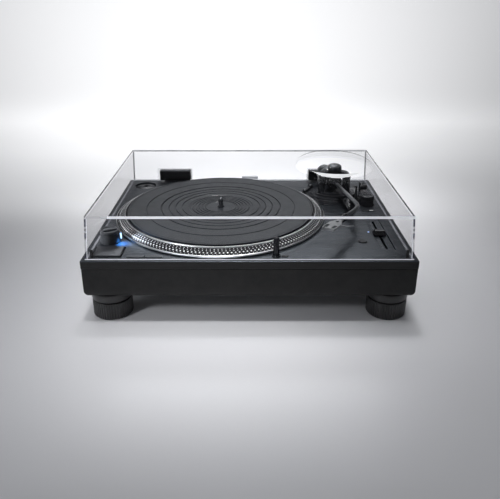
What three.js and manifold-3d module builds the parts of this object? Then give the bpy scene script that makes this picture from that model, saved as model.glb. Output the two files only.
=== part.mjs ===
// Direct drive turntable under a clear dust cover, rest pose: cover closed, arm parked, lamp up.
// Millimetres, +Z up, X right, Y away from the viewer. Modelled with Y = 0 on the front face
// and Z = 0 on the table; the group is then centred on the bounding box in Y.
import * as THREE from 'three';
import { mergeVertices } from 'three/addons/utils/BufferGeometryUtils.js';
import Module from 'manifold-3d';

const wasm = await Module();
wasm.setup();

// ---------------------------------------------------------------- driving dimensions
const PLINTH_W = 453.6;      // width over the deck
const PLINTH_D = 347.7;      // depth over the deck
const DECK_TOP = 94.9;       // deck surface above the table
const BAND_H = 11.3;         // height of the deck's upright band
const SEAM = 0.3;            // gap left between pieces that touch
const BASE_INSET = 0.4;      // step between the band and the lower plinth
const BASE_BOTTOM = 39.3;
const BASE_ROUND = 10;       // rounded lower edge
const CORNER_R = 2;          // upright corners in plan
const FOOT = { x: 196.1, yf: 33.2, yr: 314.5, r: 27.9, top: 39.0, groove: 26.0 };
const PLATTER = { x: -45.94, y: 173.4, rOut: 165.6, rTop: 150.5, rMat: 147, top: 106.5, matTop: 108.1 };
const SPINDLE = { r: 3.6, top: 122.6 };
const PIVOT = { x: 147.2, y: 262, z: 120 };   // tonearm pivot
const ARM_REST_TILT = 1.8 * Math.PI / 180;    // headshell end sits slightly high when parked
const ARM_AZ = 8.9 * Math.PI / 180;           // first tube section, towards +X from -Y
const SHELL_AZ = 33.3 * Math.PI / 180;        // headshell, towards -X from -Y
const COVER = { z0: 95.3, z1: 155.55, hwB: 220.2, hwT: 216.8, fB: 4.4, fT: 10.4, rB: 345.6, rT: 340.6, t: 2.6 };
const DOME = { x: 141.5, y: 236, r: 64, h: 17, t: 2.6 };
const HINGE = { x: 139.5, y: 345.5, z: 100.6, w: 57.2 };
const TOWER = { x: -199.7, y: 66, r: 13.9 };
const LAMP = { x: 36.2, y: 17.6, r: 4.35, top: 123 };
const ADAPTER = { x: -192, y: 313.5, r: 18.9 };
const FADER = { x: 191.8, y0: 39.5, y1: 140, knobY: 89.8 };
const Y_MID = 176.0;         // half the overall depth

// ---------------------------------------------------------------- helpers
const V2 = (x, y) => new THREE.Vector2(x, y);
const V3 = (x, y, z) => new THREE.Vector3(x, y, z);

function toSolid(geometry) {
  const g = geometry.index ? geometry.toNonIndexed() : geometry.clone();
  for (const name of Object.keys(g.attributes)) if (name !== 'position') g.deleteAttribute(name);
  const m = mergeVertices(g, 1e-4);
  return new wasm.Manifold(new wasm.Mesh({
    numProp: 3,
    vertProperties: Float32Array.from(m.attributes.position.array),
    triVerts: Uint32Array.from(m.index.array),
  }));
}
function toGeometry(man) {
  const mesh = man.getMesh();
  const g = new THREE.BufferGeometry();
  g.setAttribute('position', new THREE.BufferAttribute(Float32Array.from(mesh.vertProperties), 3));
  g.setIndex(Array.from(mesh.triVerts));
  return g;
}
const sum = (...geos) => toGeometry(geos.map(toSolid).reduce((a, b) => a.add(b)));
const cut = (geo, ...tools) => toGeometry(tools.map(toSolid).reduce((a, b) => a.subtract(b), toSolid(geo)));
const common = (a, b) => toGeometry(toSolid(a).intersect(toSolid(b)));

// box between two corners
function box(x0, x1, y0, y1, z0, z1) {
  const g = new THREE.BoxGeometry(x1 - x0, y1 - y0, z1 - z0);
  g.translate((x0 + x1) / 2, (y0 + y1) / 2, (z0 + z1) / 2);
  return g;
}
// solid of revolution about Z; points are [radius, z], first and last on the axis or closed
function turn(points, segments = 32, x = 0, y = 0) {
  const g = new THREE.LatheGeometry(points.map(([r, z]) => V2(r, z)), segments);
  g.rotateX(Math.PI / 2);
  g.translate(x, y, 0);
  const s = toSolid(g);
  return s.volume() < 0 ? flip(g) : g;
}
function flip(g) {
  const n = g.index.array;
  for (let i = 0; i < n.length; i += 3) [n[i], n[i + 1]] = [n[i + 1], n[i]];
  return g;
}
// plain upright cylinder
function rod(x, y, z0, z1, r, segments = 24) {
  const g = new THREE.CylinderGeometry(r, r, z1 - z0, segments);
  g.rotateX(Math.PI / 2);
  g.translate(x, y, (z0 + z1) / 2);
  return g;
}
// cylinder between two points
function bar(a, b, r, segments = 16, r2 = r) {
  const d = b.clone().sub(a);
  const g = new THREE.CylinderGeometry(r2, r, d.length(), segments);
  g.applyQuaternion(new THREE.Quaternion().setFromUnitVectors(V3(0, 1, 0), d.clone().normalize()));
  g.translate((a.x + b.x) / 2, (a.y + b.y) / 2, (a.z + b.z) / 2);
  return g;
}
function roundRect(x0, x1, y0, y1, r) {
  const s = new THREE.Shape();
  s.moveTo(x0 + r, y0);
  s.lineTo(x1 - r, y0); s.absarc(x1 - r, y0 + r, r, -Math.PI / 2, 0, false);
  s.lineTo(x1, y1 - r); s.absarc(x1 - r, y1 - r, r, 0, Math.PI / 2, false);
  s.lineTo(x0 + r, y1); s.absarc(x0 + r, y1 - r, r, Math.PI / 2, Math.PI, false);
  s.lineTo(x0, y0 + r); s.absarc(x0 + r, y0 + r, r, Math.PI, 1.5 * Math.PI, false);
  return s;
}
// rounded plate; bevel is a chamfer on both faces kept inside the outline
function plate(x0, x1, y0, y1, z0, z1, r = 1, bevel = 0, curve = 1, bevelSegments = 1) {
  const s = roundRect(x0 + bevel, x1 - bevel, y0 + bevel, y1 - bevel, Math.max(r - bevel, 0.2));
  const g = new THREE.ExtrudeGeometry(s, {
    depth: z1 - z0 - 2 * bevel, curveSegments: curve, steps: 1,
    bevelEnabled: bevel > 0, bevelThickness: bevel, bevelSize: bevel, bevelSegments,
  });
  g.translate(0, 0, z0 + bevel);
  return g;
}
// extrude a polygon of [a, b] pairs by d along Z
function prism(pairs, d) {
  return new THREE.ExtrudeGeometry(new THREE.Shape(pairs.map(([a, b]) => V2(a, b))), { depth: d, bevelEnabled: false });
}
// sector of a ring: radii r0..r1, z0..z1, azimuths measured from -Y towards -X, degrees
function sector(r0, r1, z0, z1, a0, a1, steps = 8) {
  const p = [];
  const at = (r, a) => [-r * Math.sin(a * Math.PI / 180), -r * Math.cos(a * Math.PI / 180)];
  for (let i = 0; i <= steps; i++) p.push(at(r1, a0 + (a1 - a0) * i / steps));
  for (let i = steps; i >= 0; i--) p.push(at(r0, a0 + (a1 - a0) * i / steps));
  const g = prism(p, z1 - z0);
  g.translate(0, 0, z0);
  return g;
}

const group = new THREE.Group();
group.name = 'direct_drive_turntable';
group.position.set(0, -Y_MID, 0);

const LOOK = {
  deck: { color: 0x34363b, roughness: 0.42, metalness: 0.55 },
  plinth: { color: 0x1d1c1f, roughness: 0.55, metalness: 0.05 },
  rubber: { color: 0x151515, roughness: 0.85, metalness: 0 },
  black: { color: 0x17181b, roughness: 0.45, metalness: 0.1 },
  blackMetal: { color: 0x1b1c20, roughness: 0.35, metalness: 0.6 },
  arm: { color: 0x4b4d52, roughness: 0.3, metalness: 0.85 },
  silver: { color: 0xb4b5b8, roughness: 0.32, metalness: 0.95 },
  platter: { color: 0xa9abb0, roughness: 0.28, metalness: 0.95 },
  mat: { color: 0x2c2d31, roughness: 0.8, metalness: 0 },
  clear: { color: 0xf2f4f6, roughness: 0.04, metalness: 0 },
  steel: { color: 0xc9cacd, roughness: 0.2, metalness: 1 },
  brass: { color: 0xc9a24a, roughness: 0.3, metalness: 1 },
  light: { color: 0xd5e4ff, roughness: 0.3, metalness: 0 },
  ferrite: { color: 0x3a3a3d, roughness: 0.7, metalness: 0.2 },
  copper: { color: 0xb06a3a, roughness: 0.45, metalness: 0.8 },
  board: { color: 0x1e5b3a, roughness: 0.6, metalness: 0 },
  sheet: { color: 0x8a8c90, roughness: 0.45, metalness: 0.8 },
};
function put(name, geometry, look, at = [0, 0, 0], quaternion = null, parent = group) {
  const g = geometry.index ? geometry.toNonIndexed() : geometry;
  g.deleteAttribute('uv');
  g.computeVertexNormals();
  const m = new THREE.Mesh(g, new THREE.MeshStandardMaterial(LOOK[look]));
  m.name = name;
  m.position.set(...at);
  if (quaternion) m.quaternion.copy(quaternion);
  parent.add(m);
  return m;
}

// ---------------------------------------------------------------- deck
{
  const hw = PLINTH_W / 2, zb = DECK_TOP - BAND_H;
  const body = plate(-hw, hw, 0, PLINTH_D, zb, DECK_TOP, CORNER_R, 0.7, 3);
  const motorCup = rod(PLATTER.x, PLATTER.y, 73, DECK_TOP - 4, 92, 32);
  const adapterCup = rod(ADAPTER.x, ADAPTER.y, 80, DECK_TOP - 4, 22, 20);
  const lampCup = rod(LAMP.x, LAMP.y, 55, DECK_TOP - 4, 7.6, 12);
  const lampFlange = turn([[0, DECK_TOP - 1], [6.3, DECK_TOP - 1], [6.3, 95.9], [5.8, 96.4], [0, 96.4]], 18, LAMP.x, LAMP.y);
  let g = cut(body, box(-hw + 7, hw - 7, 7, PLINTH_D - 7, zb - 1, DECK_TOP - 5));
  g = sum(g, motorCup, adapterCup, lampCup, lampFlange);
  g = cut(g,
    rod(PLATTER.x, PLATTER.y, 76, DECK_TOP + 1, 88, 32),
    rod(PLATTER.x, PLATTER.y, 72, 77, 13.4, 20),
    turn([[0, 82.4], [19.3, 82.4], [19.3, 93.4], [21, DECK_TOP + 0.2], [21, DECK_TOP + 1], [0, DECK_TOP + 1]], 24, ADAPTER.x, ADAPTER.y),
    plate(-215.3, -173.2, 12.2, 46.4, zb - 1, DECK_TOP + 1, 2),
    plate(-167.1, -117.4, 11.0, 18.3, zb - 1, DECK_TOP + 1, 1),
    rod(TOWER.x, TOWER.y, zb, DECK_TOP + 1, 5.4, 12),
    rod(LAMP.x, LAMP.y, 57, DECK_TOP + 3, LAMP.r + 0.4, 16),
    plate(43.1, 52.7, 13.0, 18.4, zb - 1, DECK_TOP + 1, 2.4),
    plate(181.9, 203.7, 36.0, 158.6, zb - 1, DECK_TOP + 1, 1.5),
    rod(162.3, 64.4, zb, DECK_TOP + 1, 6.8, 18),
    plate(184.3, 205.2, 183.2, 187.6, zb - 1, DECK_TOP + 1, 1.2),
    rod(177.5, 98.5, zb, DECK_TOP + 1, 1.7, 8),
    rod(PIVOT.x, PIVOT.y, zb, DECK_TOP + 1, 25, 20));
  put('deck', g, 'deck');
}

// ---------------------------------------------------------------- lower plinth
{
  const hw = PLINTH_W / 2 - BASE_INSET, y0 = BASE_INSET, y1 = PLINTH_D - BASE_INSET;
  const top = DECK_TOP - BAND_H - SEAM;
  // a tub profile across the width meets one across the depth; the upright corners stay crisp
  const tub = (a, b) => {
    const pts = [[a, top], [b, top]];
    for (let k = 4; k >= 0; k--) pts.splice(1, 0, [a + BASE_ROUND * (1 - Math.cos(k * Math.PI / 8)), BASE_BOTTOM + BASE_ROUND * (1 - Math.sin(k * Math.PI / 8))]);
    for (let k = 4; k >= 0; k--) pts.splice(6, 0, [b - BASE_ROUND * (1 - Math.cos(k * Math.PI / 8)), BASE_BOTTOM + BASE_ROUND * (1 - Math.sin(k * Math.PI / 8))]);
    const left = pts.slice(1, 6), right = pts.slice(6, 11).reverse();
    return [[a, top], ...left, ...right, [b, top]];
  };
  const acrossWidth = prism(tub(-hw, hw), 400).rotateX(Math.PI / 2).translate(0, 400, 0);
  const acrossDepth = prism(tub(y0, y1), 500).rotateX(Math.PI / 2).rotateZ(Math.PI / 2).translate(-250, 0, 0);
  let g = common(common(acrossWidth.translate(0, -20, 0), acrossDepth), plate(-hw, hw, y0, y1, BASE_BOTTOM - 5, top + 5, CORNER_R));
  g = cut(g,
    box(-hw + 7, hw - 7, y0 + 7, y1 - 7, BASE_BOTTOM + 7, top + 1),
    plate(-150, 150, 70, 278, BASE_BOTTOM - 1, BASE_BOTTOM + 9, 5),
    plate(-156, 156, 64, 284, BASE_BOTTOM - 1, BASE_BOTTOM + 3.2, 6),
    // socket row at the back
    box(-196, -84, y1 - 12, y1 + 5, 49.5, 70.5),
    box(96, 150, y1 - 12, y1 + 5, 48, 72));
  for (const sx of [-1, 1]) for (const fy of [FOOT.yf, FOOT.yr])
    g = cut(g, rod(sx * FOOT.x, fy, BASE_BOTTOM - 1, BASE_BOTTOM + 12, 4.6, 16));
  put('plinth_base', g, 'plinth');
}
put('bottom_cover', cut(
  plate(-155.6, 155.6, 64.4, 283.6, BASE_BOTTOM + 0.4, BASE_BOTTOM + 2.6, 5.6),
  ...[-60, -30, 0, 30, 60].map((x) => box(x - 9, x + 9, 246, 249.6, 30, 50))), 'sheet');

// ---------------------------------------------------------------- feet: boss, groove, ribbed foot, stud
{
  const foot = () => turn([[0, 0], [25.6, 0], [FOOT.r, 1.4], [FOOT.r, FOOT.groove], [24.4, FOOT.groove], [24.4, FOOT.groove + 1.4],
    [28.2, FOOT.groove + 1.4], [28.2, FOOT.top], [4.0, FOOT.top], [4.0, 51], [0, 51]], 28);
  for (const [n, x, y] of [['foot_front_left', -FOOT.x, FOOT.yf], ['foot_front_right', FOOT.x, FOOT.yf],
    ['foot_rear_left', -FOOT.x, FOOT.yr], ['foot_rear_right', FOOT.x, FOOT.yr]]) put(n, foot(), 'rubber', [x, y, 0]);
}

// ---------------------------------------------------------------- inside: motor, boards
{
  const coils = [];
  for (let i = 0; i < 9; i++) {
    const c = box(24, 55, -6, 6, 80, 88);
    c.rotateZ((i / 9) * 2 * Math.PI);
    coils.push(c);
  }
  put('motor_stator', sum(turn([[14.2, 77], [56, 77], [56, 80.6], [26, 80.6], [26, 88.6], [14.2, 88.6], [14.2, 77]], 24), ...coils),
    'copper', [PLATTER.x, PLATTER.y, 0]);
  put('motor_bearing', turn([[0, 47], [11, 47], [13, 49], [13, 84], [10, 90.5], [5.2, 90.5], [5.2, 50], [0, 50]], 20),
    'brass', [PLATTER.x, PLATTER.y, 0]);
  put('motor_magnet_ring', turn([[61, 79], [74, 79], [74, 92.6], [84, 92.6], [84, 98.4], [61, 98.4], [61, 79]], 28),
    'ferrite', [PLATTER.x, PLATTER.y, 0]);
}
put('main_board', sum(
  box(-190, -70, 250, 325, 54, 55.6),
  box(-186, -160, 256, 280, 55, 62), box(-150, -128, 300, 320, 55, 58), box(-120, -100, 262, 284, 55, 57.5),
  box(-92, -78, 300, 321, 55, 64), rod(-140, 270, 55, 66, 6, 12), rod(-176, 300, 55, 68, 7, 12), rod(-176, 316, 55, 64, 5, 12),
  box(-110, -104, 290, 320, 55, 61)), 'board');
put('power_supply', sum(
  box(70, 200, 60, 130, 50, 52), box(78, 118, 72, 118, 51, 76), box(128, 134, 66, 124, 51, 68),
  rod(150, 80, 51, 74, 8, 14), rod(150, 104, 51, 74, 8, 14), box(166, 192, 72, 118, 51, 66)), 'board');

// ---------------------------------------------------------------- platter, mat, spindle
put('platter', turn([
  [20, 99], [150, 99], [158, 96], [PLATTER.rOut, 96], [PLATTER.rOut, 97.8],
  [151.9, 105.5], [151.2, PLATTER.top], [149.4, PLATTER.top], [148.6, 104.6], [4.3, 104.6], [4.3, 97.2], [20, 97.2], [20, 99]], 72),
  'platter', [PLATTER.x, PLATTER.y, 0]);
put('platter_mat', turn([
  [4.1, 104.9], [PLATTER.rMat, 104.9], [PLATTER.rMat, PLATTER.matTop], [51, PLATTER.matTop], [50, 107.5], [4.1, 107.5], [4.1, 104.9]], 60),
  'mat', [PLATTER.x, PLATTER.y, 0]);
put('spindle', turn([
  [0, 51], [4.7, 51], [4.7, 94.5], [12, 94.5], [12, 96.9], [4.0, 96.9], [4.0, 104],
  [SPINDLE.r, 104.8], [SPINDLE.r, 118.6], [3.1, 120.8], [1.9, 122.2], [0, SPINDLE.top]], 16),
  'steel', [PLATTER.x, PLATTER.y, 0]);

// ---------------------------------------------------------------- front-left controls
put('start_stop_button', sum(
  plate(-213.3, -175.3, 14.2, 44.4, 86, DECK_TOP + 2.0, 1.6, 0.7),
  box(-208, -180, 20, 38, 82.5, 87)), 'deck');
for (const [n, x0, x1] of [['speed_button_33', -166.7, -142.8], ['speed_button_45', -141.7, -117.8]])
  put(n, sum(plate(x0, x1, 11.4, 17.9, 87, DECK_TOP + 1.1, 0.8, 0.4), box(x0 + 4, x1 - 4, 12.6, 16.6, 83.5, 88)), 'deck');
{
  const body = turn([[0, DECK_TOP + SEAM], [14.6, DECK_TOP + SEAM], [14.6, 96.6], [14.1, 97.6], [13.7, 109.0], [0, 109.0]], 30);
  // window on the side that faces the strobe dots
  const slot = box(8, 20, -4.2, 4.2, 98.2, 108.6);
  slot.rotateZ(0.35);
  put('strobe_tower', cut(sum(body, turn([[0, 80], [5, 80], [5, 96], [0, 96]], 20)), slot, rod(0, 0, 70, 120, 3.2, 16)),
    'black', [TOWER.x, TOWER.y, 0]);
  const lens = box(8.4, 13.2, -3.8, 3.8, 98.6, 108.2);
  lens.rotateZ(0.35);
  put('strobe_window', lens, 'light', [TOWER.x, TOWER.y, 0]);
  const knob = turn([[0, 78], [2.8, 78], [2.8, 109.4], [12.6, 109.4], [13.6, 110.2], [13.7, 113.0], [12.9, 113.7], [12.0, 113.5], [10.6, 111.9], [0, 111.2]], 28);
  const grip = plate(-10.8, 10.8, -2.1, 2.1, 111, 113.5, 2, 0.5);
  grip.rotateZ(0.5);
  put('power_knob', sum(knob, grip), 'black', [TOWER.x, TOWER.y, 0]);
}

// ---------------------------------------------------------------- pop-up stylus lamp and its catch button
put('stylus_lamp', turn([[0, 86], [LAMP.r, 86], [LAMP.r, 119.6], [4.1, 121.0], [3.2, 122.4], [0, LAMP.top]], 20),
  'blackMetal', [LAMP.x, LAMP.y, 0]);
put('lamp_button', sum(plate(43.6, 52.2, 13.5, 17.9, 87, DECK_TOP + 1.0, 2.0, 0.4), box(45.5, 50.3, 14.5, 17, 83.5, 88)), 'black');

// ---------------------------------------------------------------- 45 adapter in its recess
put('adapter_45', turn([[3.65, 82.7], [18.0, 82.7], [ADAPTER.r, 83.6], [ADAPTER.r, 92.0], [17.6, 93.6], [9, 94.6], [6.2, 94.2], [3.65, 92], [3.65, 82.7]], 26),
  'blackMetal', [ADAPTER.x, ADAPTER.y, 0]);

// ---------------------------------------------------------------- pitch control
put('pitch_panel', cut(plate(182.5, 202.4, 36.4, 158.2, 91.4, DECK_TOP - 0.25, 1.2),
  plate(FADER.x - 1.9, FADER.x + 1.9, FADER.y0, FADER.y1, 90, 96, 1.8),
  plate(184.6, 185.3, 41, 138, 94.2, 96, 0.3, 0, 1)), 'deck');
put('pitch_slider', sum(
  plate(-8.9, 8.9, -7.4, 7.4, 95.3, 101.8, 1.2, 0.6),
  box(-8.2, 8.2, -0.5, 0.5, 101, 102.3),
  box(-1.4, 1.4, -3, 3, 84, 95.8), box(-6, 6, -4.5, 4.5, 83, 90.6)), 'black', [FADER.x, FADER.knobY, 0]);
put('pitch_lamp', turn([[0, 86], [1.3, 86], [1.3, 95.1], [0.8, 95.5], [0, 95.6]], 12), 'light', [177.5, 98.5, 0]);
put('reset_button', turn([[0, 84], [3, 84], [3, 87], [6.4, 87], [6.4, 95.9], [5.6, 96.6], [0, 96.0]], 22), 'black', [162.3, 64.4, 0]);
put('pitch_range_button', sum(plate(184.8, 204.7, 183.7, 187.1, 87, DECK_TOP + 0.9, 0.9, 0.3), box(190, 199, 184.3, 186.5, 83.5, 88)), 'black');

// ---------------------------------------------------------------- tonearm base
const AT = [PIVOT.x, PIVOT.y, 0];
put('arm_base', sum(
  turn([[16, 70], [22.2, 70], [22.2, 95.2], [55, 95.2], [55, 95.7], [46, 95.7],
    [45.4, 96.9], [42, 96.9], [41.8, 96.4], [22.2, 96.4], [22.2, 103.2], [16, 103.2], [16, 70]], 40),
  // side lobe carrying the anti-skate housing
  prism([[34, -34], [44, -26], [58, -42], [44, -56]], 0.5).translate(0, 0, 95.2),
  turn([[0, 95.2], [12.2, 95.2], [12.2, 96.6], [11.3, 97.4], [11.3, 103.6], [0, 103.6]], 24, 49.8, -48)), 'blackMetal', AT);
{
  // ribbed grip band between two plain rings
  const star = [];
  for (let i = 0; i < 48; i++) {
    const a = (i / 48) * 2 * Math.PI, r = i % 2 ? 38.8 : 40.0;
    star.push([r * Math.cos(a), r * Math.sin(a)]);
  }
  put('height_ring', cut(sum(rod(0, 0, 96.8, 97.8, 40.6, 36), prism(star, 2.4).translate(0, 0, 97.6), rod(0, 0, 99.8, 103.5, 28.2, 32)),
    rod(0, 0, 90, 110, 22.7, 28)), 'blackMetal', AT);
}
// height lock lever on the rim of the base, away from the platter
put('height_lock_lever', sum(
  turn([[0, 96.1], [4.2, 96.1], [4.2, 99.6], [3.4, 100.4], [0, 100.4]], 16),
  plate(-2.8, 2.8, 0, 26, 97.2, 99.4, 2, 0.4).rotateZ(-0.47),
  plate(-4.0, 4.0, 22, 32, 97.2, 101.6, 3, 0.6).rotateZ(-0.47)),
  'blackMetal', [PIVOT.x - 48.2, PIVOT.y + 14, 0]);
{
  // moving pillar: stem, flange, two upright shells, arch over the gimbal, side shelf, arm-rest bracket
  const stem = turn([[0, 74], [15.4, 74], [15.4, 103.8], [27.7, 103.8], [28.2, 104.3], [28.2, 105.6], [27.8, 106], [0, 106]], 32);
  const left = sector(23.6, 27.6, 105.6, 133, 48, 130, 6);
  const right = sector(23.6, 27.6, 105.6, 133, 228, 310, 6);
  const archOuter = [[-27.6, 106], [27.6, 106], [27.6, 131], [25.8, 135], [21, 138], [14, 139.4], [-14, 139.4], [-21, 138], [-25.8, 135], [-27.6, 131]];
  const archInner = [[-23.6, 100], [23.6, 100], [23.6, 129.6], [21.6, 132.6], [17.4, 134.6], [12, 135.2], [-12, 135.2], [-17.4, 134.6], [-21.6, 132.6], [-23.6, 129.6]];
  const profile = (pairs, w) => prism(pairs, w).rotateX(Math.PI / 2).translate(0, w / 2, 0);
  const arch = cut(profile(archOuter, 15), profile(archInner, 17));
  const cap = turn([[0, 138], [12.2, 138], [12.2, 146.4], [11.4, 148.8], [9.6, 150.5], [6.6, 151.4], [0, 151.6]], 24);
  const shelf = plate(22, 57, -34, 6, 103.8, 106.4, 3, 0.4);
  const leverBlock = box(43.6, 46.4, -9.4, -0.6, 106, 119.4);
  const bracket = prism([[4, -22], [16, -22], [22.4, -88], [22.4, -101], [10.4, -101], [9.6, -90]], 2.6).translate(0, 0, 103.8);
  let g = sum(stem, left, right, arch, cap, shelf, leverBlock, bracket);
  g = cut(g, rod(0, 0, 101, 149, 2.8, 16), rod(33.7, -28.3, 100, 115, 2.5, 16));
  put('arm_pillar', g, 'blackMetal', AT);
}
// arm rest: post with a hook that is open towards the platter
put('arm_rest', sum(
  box(10.6, 22.2, -100, -92, 106.7, 108.2), box(12.6, 22.2, -99, -93, 108, 117), box(10.6, 22.4, -100, -92, 116.6, 119.1),
  box(19.5, 22.4, -100, -92, 116.6, 130.4)), 'black', AT);
put('arm_clip', sum(
  bar(V3(0, -4.0, 0), V3(0, 4.0, 0), 1.5, 14),
  box(-1.1, 1.1, -3.0, 3.0, 0.6, 12.2), box(-4.2, 1.1, -3.0, 3.0, 10.6, 12.2)), 'black', [PIVOT.x + 20.9, PIVOT.y - 96, 132.2]);
{
  const flutes = [];
  for (let i = 0; i < 12; i++) flutes.push(rod(11.9 * Math.cos(i * Math.PI / 6), 11.9 * Math.sin(i * Math.PI / 6), 103, 110.4, 1.4, 6));
  put('antiskate_dial', cut(turn([[0, 104], [11.4, 104], [11.4, 110.6], [10.6, 111.6], [7.0, 111.6], [6.6, 110.8], [0, 110.8]], 24), ...flutes),
    'black', [197, 214, 0]);
}
// cue lever turns on the pillar's block; its grip lies forward
put('cue_lever', sum(
  bar(V3(-1.2, 0, 0), V3(3.4, 0, 0), 3.4, 18),
  (() => { const g = box(0, 2.6, -20, 1.5, -1.4, 1.4); g.rotateX(-0.16); return g; })(),
  bar(V3(-6.0, -20.4, 3.2), V3(5.0, -20.4, 3.2), 4.4, 20)), 'black', [PIVOT.x + 48, PIVOT.y - 5, 115.2]);
put('lift_platform', sum(
  sector(42.6, 46.2, 107.0, 109.2, -52, 48, 12),
  rod(33.7, -28.3, 97, 108, 2.1, 14),
  box(31.8, 36.6, -31, -26.6, 106.9, 109.2)), 'black', AT);

// gimbal ring swings about the upright pins; its own axis lies along the arm
const AZ = new THREE.Quaternion().setFromAxisAngle(V3(0, 0, 1), ARM_AZ);
{
  const ring = turn([[10.4, -4.2], [12.9, -4.2], [13.4, -3.6], [13.4, 3.6], [12.9, 4.2], [10.4, 4.2], [10.4, -4.2]], 28);
  ring.rotateX(Math.PI / 2);
  const pinUp = bar(V3(0, 0, 12), V3(0, 0, 27.4), 2.4, 14), pinLow = bar(V3(0, 0, -12), V3(0, 0, -18.6), 2.4, 14);
  const g = cut(sum(ring, pinUp, pinLow), bar(V3(-25, 0, 0), V3(25, 0, 0), 2.2, 14));
  put('gimbal_ring', g, 'blackMetal', [PIVOT.x, PIVOT.y, PIVOT.z], AZ);
}

// ---------------------------------------------------------------- tonearm, all parts in one tilted frame
const armTilt = new THREE.Quaternion().setFromAxisAngle(V3(Math.cos(ARM_AZ), Math.sin(ARM_AZ), 0), -ARM_REST_TILT);
const arm = new THREE.Group();
arm.name = 'arm_frame';
arm.position.set(PIVOT.x, PIVOT.y, PIVOT.z);
arm.quaternion.copy(armTilt);
group.add(arm);
const along = (d) => V3(Math.sin(ARM_AZ) * d, -Math.cos(ARM_AZ) * d, 0);       // towards the headshell
const across = (d) => V3(Math.cos(ARM_AZ) * d, Math.sin(ARM_AZ) * d, 0);
const H0 = V3(-16, -189.3, 0);                                                  // headshell joint
const shellAlong = (d) => V3(H0.x - Math.sin(SHELL_AZ) * d, H0.y - Math.cos(SHELL_AZ) * d, 0);
{
  const path = new THREE.CatmullRomCurve3([
    along(8), along(36), V3(10, -65.8, 0), V3(14, -90, 0), V3(17.2, -111.4, 0), V3(18.1, -124, 0), V3(16.2, -136.5, 0),
    V3(10.5, -149, 0), V3(3, -161, 0), shellAlong(-21.3), shellAlong(-5.5)], false, 'centripetal');
  const section = new THREE.Shape();
  section.absarc(0, 0, 3.3, 0, 2 * Math.PI, false);
  const tube = new THREE.ExtrudeGeometry(section, { steps: 24, curveSegments: 6, extrudePath: path, bevelEnabled: false });
  const block = bar(along(-12.4), along(12.4), 7.6, 20);
  const nose = bar(along(12), along(19), 6.0, 16, 4.4);
  const stub = bar(along(-11), along(-66), 4.4, 16);
  const pins = bar(across(-12.4), across(12.4), 1.8, 12);
  put('arm_tube', sum(tube, block, nose, stub, pins), 'arm', [0, 0, 0], null, arm);
}
{
  const w = turn([[7.8, 34.4], [13.4, 34.4], [14.6, 35.8], [14.6, 42.6], [13.9, 43.0], [13.9, 44.6], [14.6, 45], [14.6, 62.6], [13.2, 64], [7.8, 64], [7.8, 34.4]], 28);
  w.rotateX(-Math.PI / 2); // +Z to +Y
  w.applyQuaternion(AZ);
  put('counterweight', w, 'blackMetal', [0, 0, 0], null, arm);
  const dial = turn([[4.9, 30.0], [13.4, 30.0], [14.0, 33.4], [13.6, 33.9], [4.9, 33.9], [4.9, 30.0]], 28);
  dial.rotateX(-Math.PI / 2);
  dial.applyQuaternion(AZ);
  put('stylus_force_dial', dial, 'black', [0, 0, 0], null, arm);
}
{
  const q = new THREE.Quaternion().setFromUnitVectors(V3(0, 0, 1), V3(Math.sin(SHELL_AZ), Math.cos(SHELL_AZ), 0));
  const collar = turn([[3.7, 1.0], [5.2, 1.0], [5.7, 1.6], [5.7, 11.6], [5.0, 12.6], [4.9, 15.0], [3.7, 15.0], [3.7, 1.0]], 20);
  collar.applyQuaternion(q);
  put('headshell_collar', collar, 'blackMetal', [H0.x, H0.y, 0], null, arm);
  // headshell drawn with a = forwards, b = to its right
  const outline = [[0.6, -4.2], [10, -5.6], [19, -9.7], [40.5, -9.9], [43.8, -8.6], [43.8, 8.6], [40.5, 9.9], [19, 9.7], [10, 5.6], [0.6, 4.2]];
  const slab = prism(outline, 2.0); slab.translate(0, 0, -1.0);
  const slot = (a0, a1, b) => { const s = prism([[a0, b - 1.7], [a1, b - 1.7], [a1, b + 1.7], [a0, b + 1.7]], 6); s.translate(0, 0, -3); return s; };
  let shell = cut(slab, slot(24, 36, -5.2), slot(24, 36, 5.2), slot(8.5, 12.5, 0));
  const plug = bar(V3(2.4, 0, 0), V3(-4.6, 0, 0), 3.3, 16);
  const rim = sum(shell, plug, (() => { const s = prism([[40.6, -9.8], [43.8, -8.6], [43.8, 8.6], [40.6, 9.8]], 2.6); s.translate(0, 0, -2.6); return s; })());
  const fwd = V3(-Math.sin(SHELL_AZ), -Math.cos(SHELL_AZ), 0);
  const s = V3(Math.cos(SHELL_AZ), -Math.sin(SHELL_AZ), 0); // right of the shell, seen from the front
  rim.applyMatrix4(new THREE.Matrix4().makeBasis(fwd, s, V3(0, 0, 1)));
  put('headshell', rim, 'silver', [H0.x, H0.y, 0], null, arm);
  const P = (a, b, z) => V3(fwd.x * a + s.x * b, fwd.y * a + s.y * b, z);
  const lift = sum(bar(P(24, 10.3, 0), P(22.6, 20, 0.4), 1.2, 12), bar(P(22.6, 19.8, 0.4), P(20, 28, 2.6), 1.2, 12, 0.9),
    bar(P(27.6, 11.0, 0), P(20.6, 11.0, 0), 0.7, 10));
  put('finger_lift', lift, 'steel', [H0.x, H0.y, 0], null, arm);
}

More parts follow.
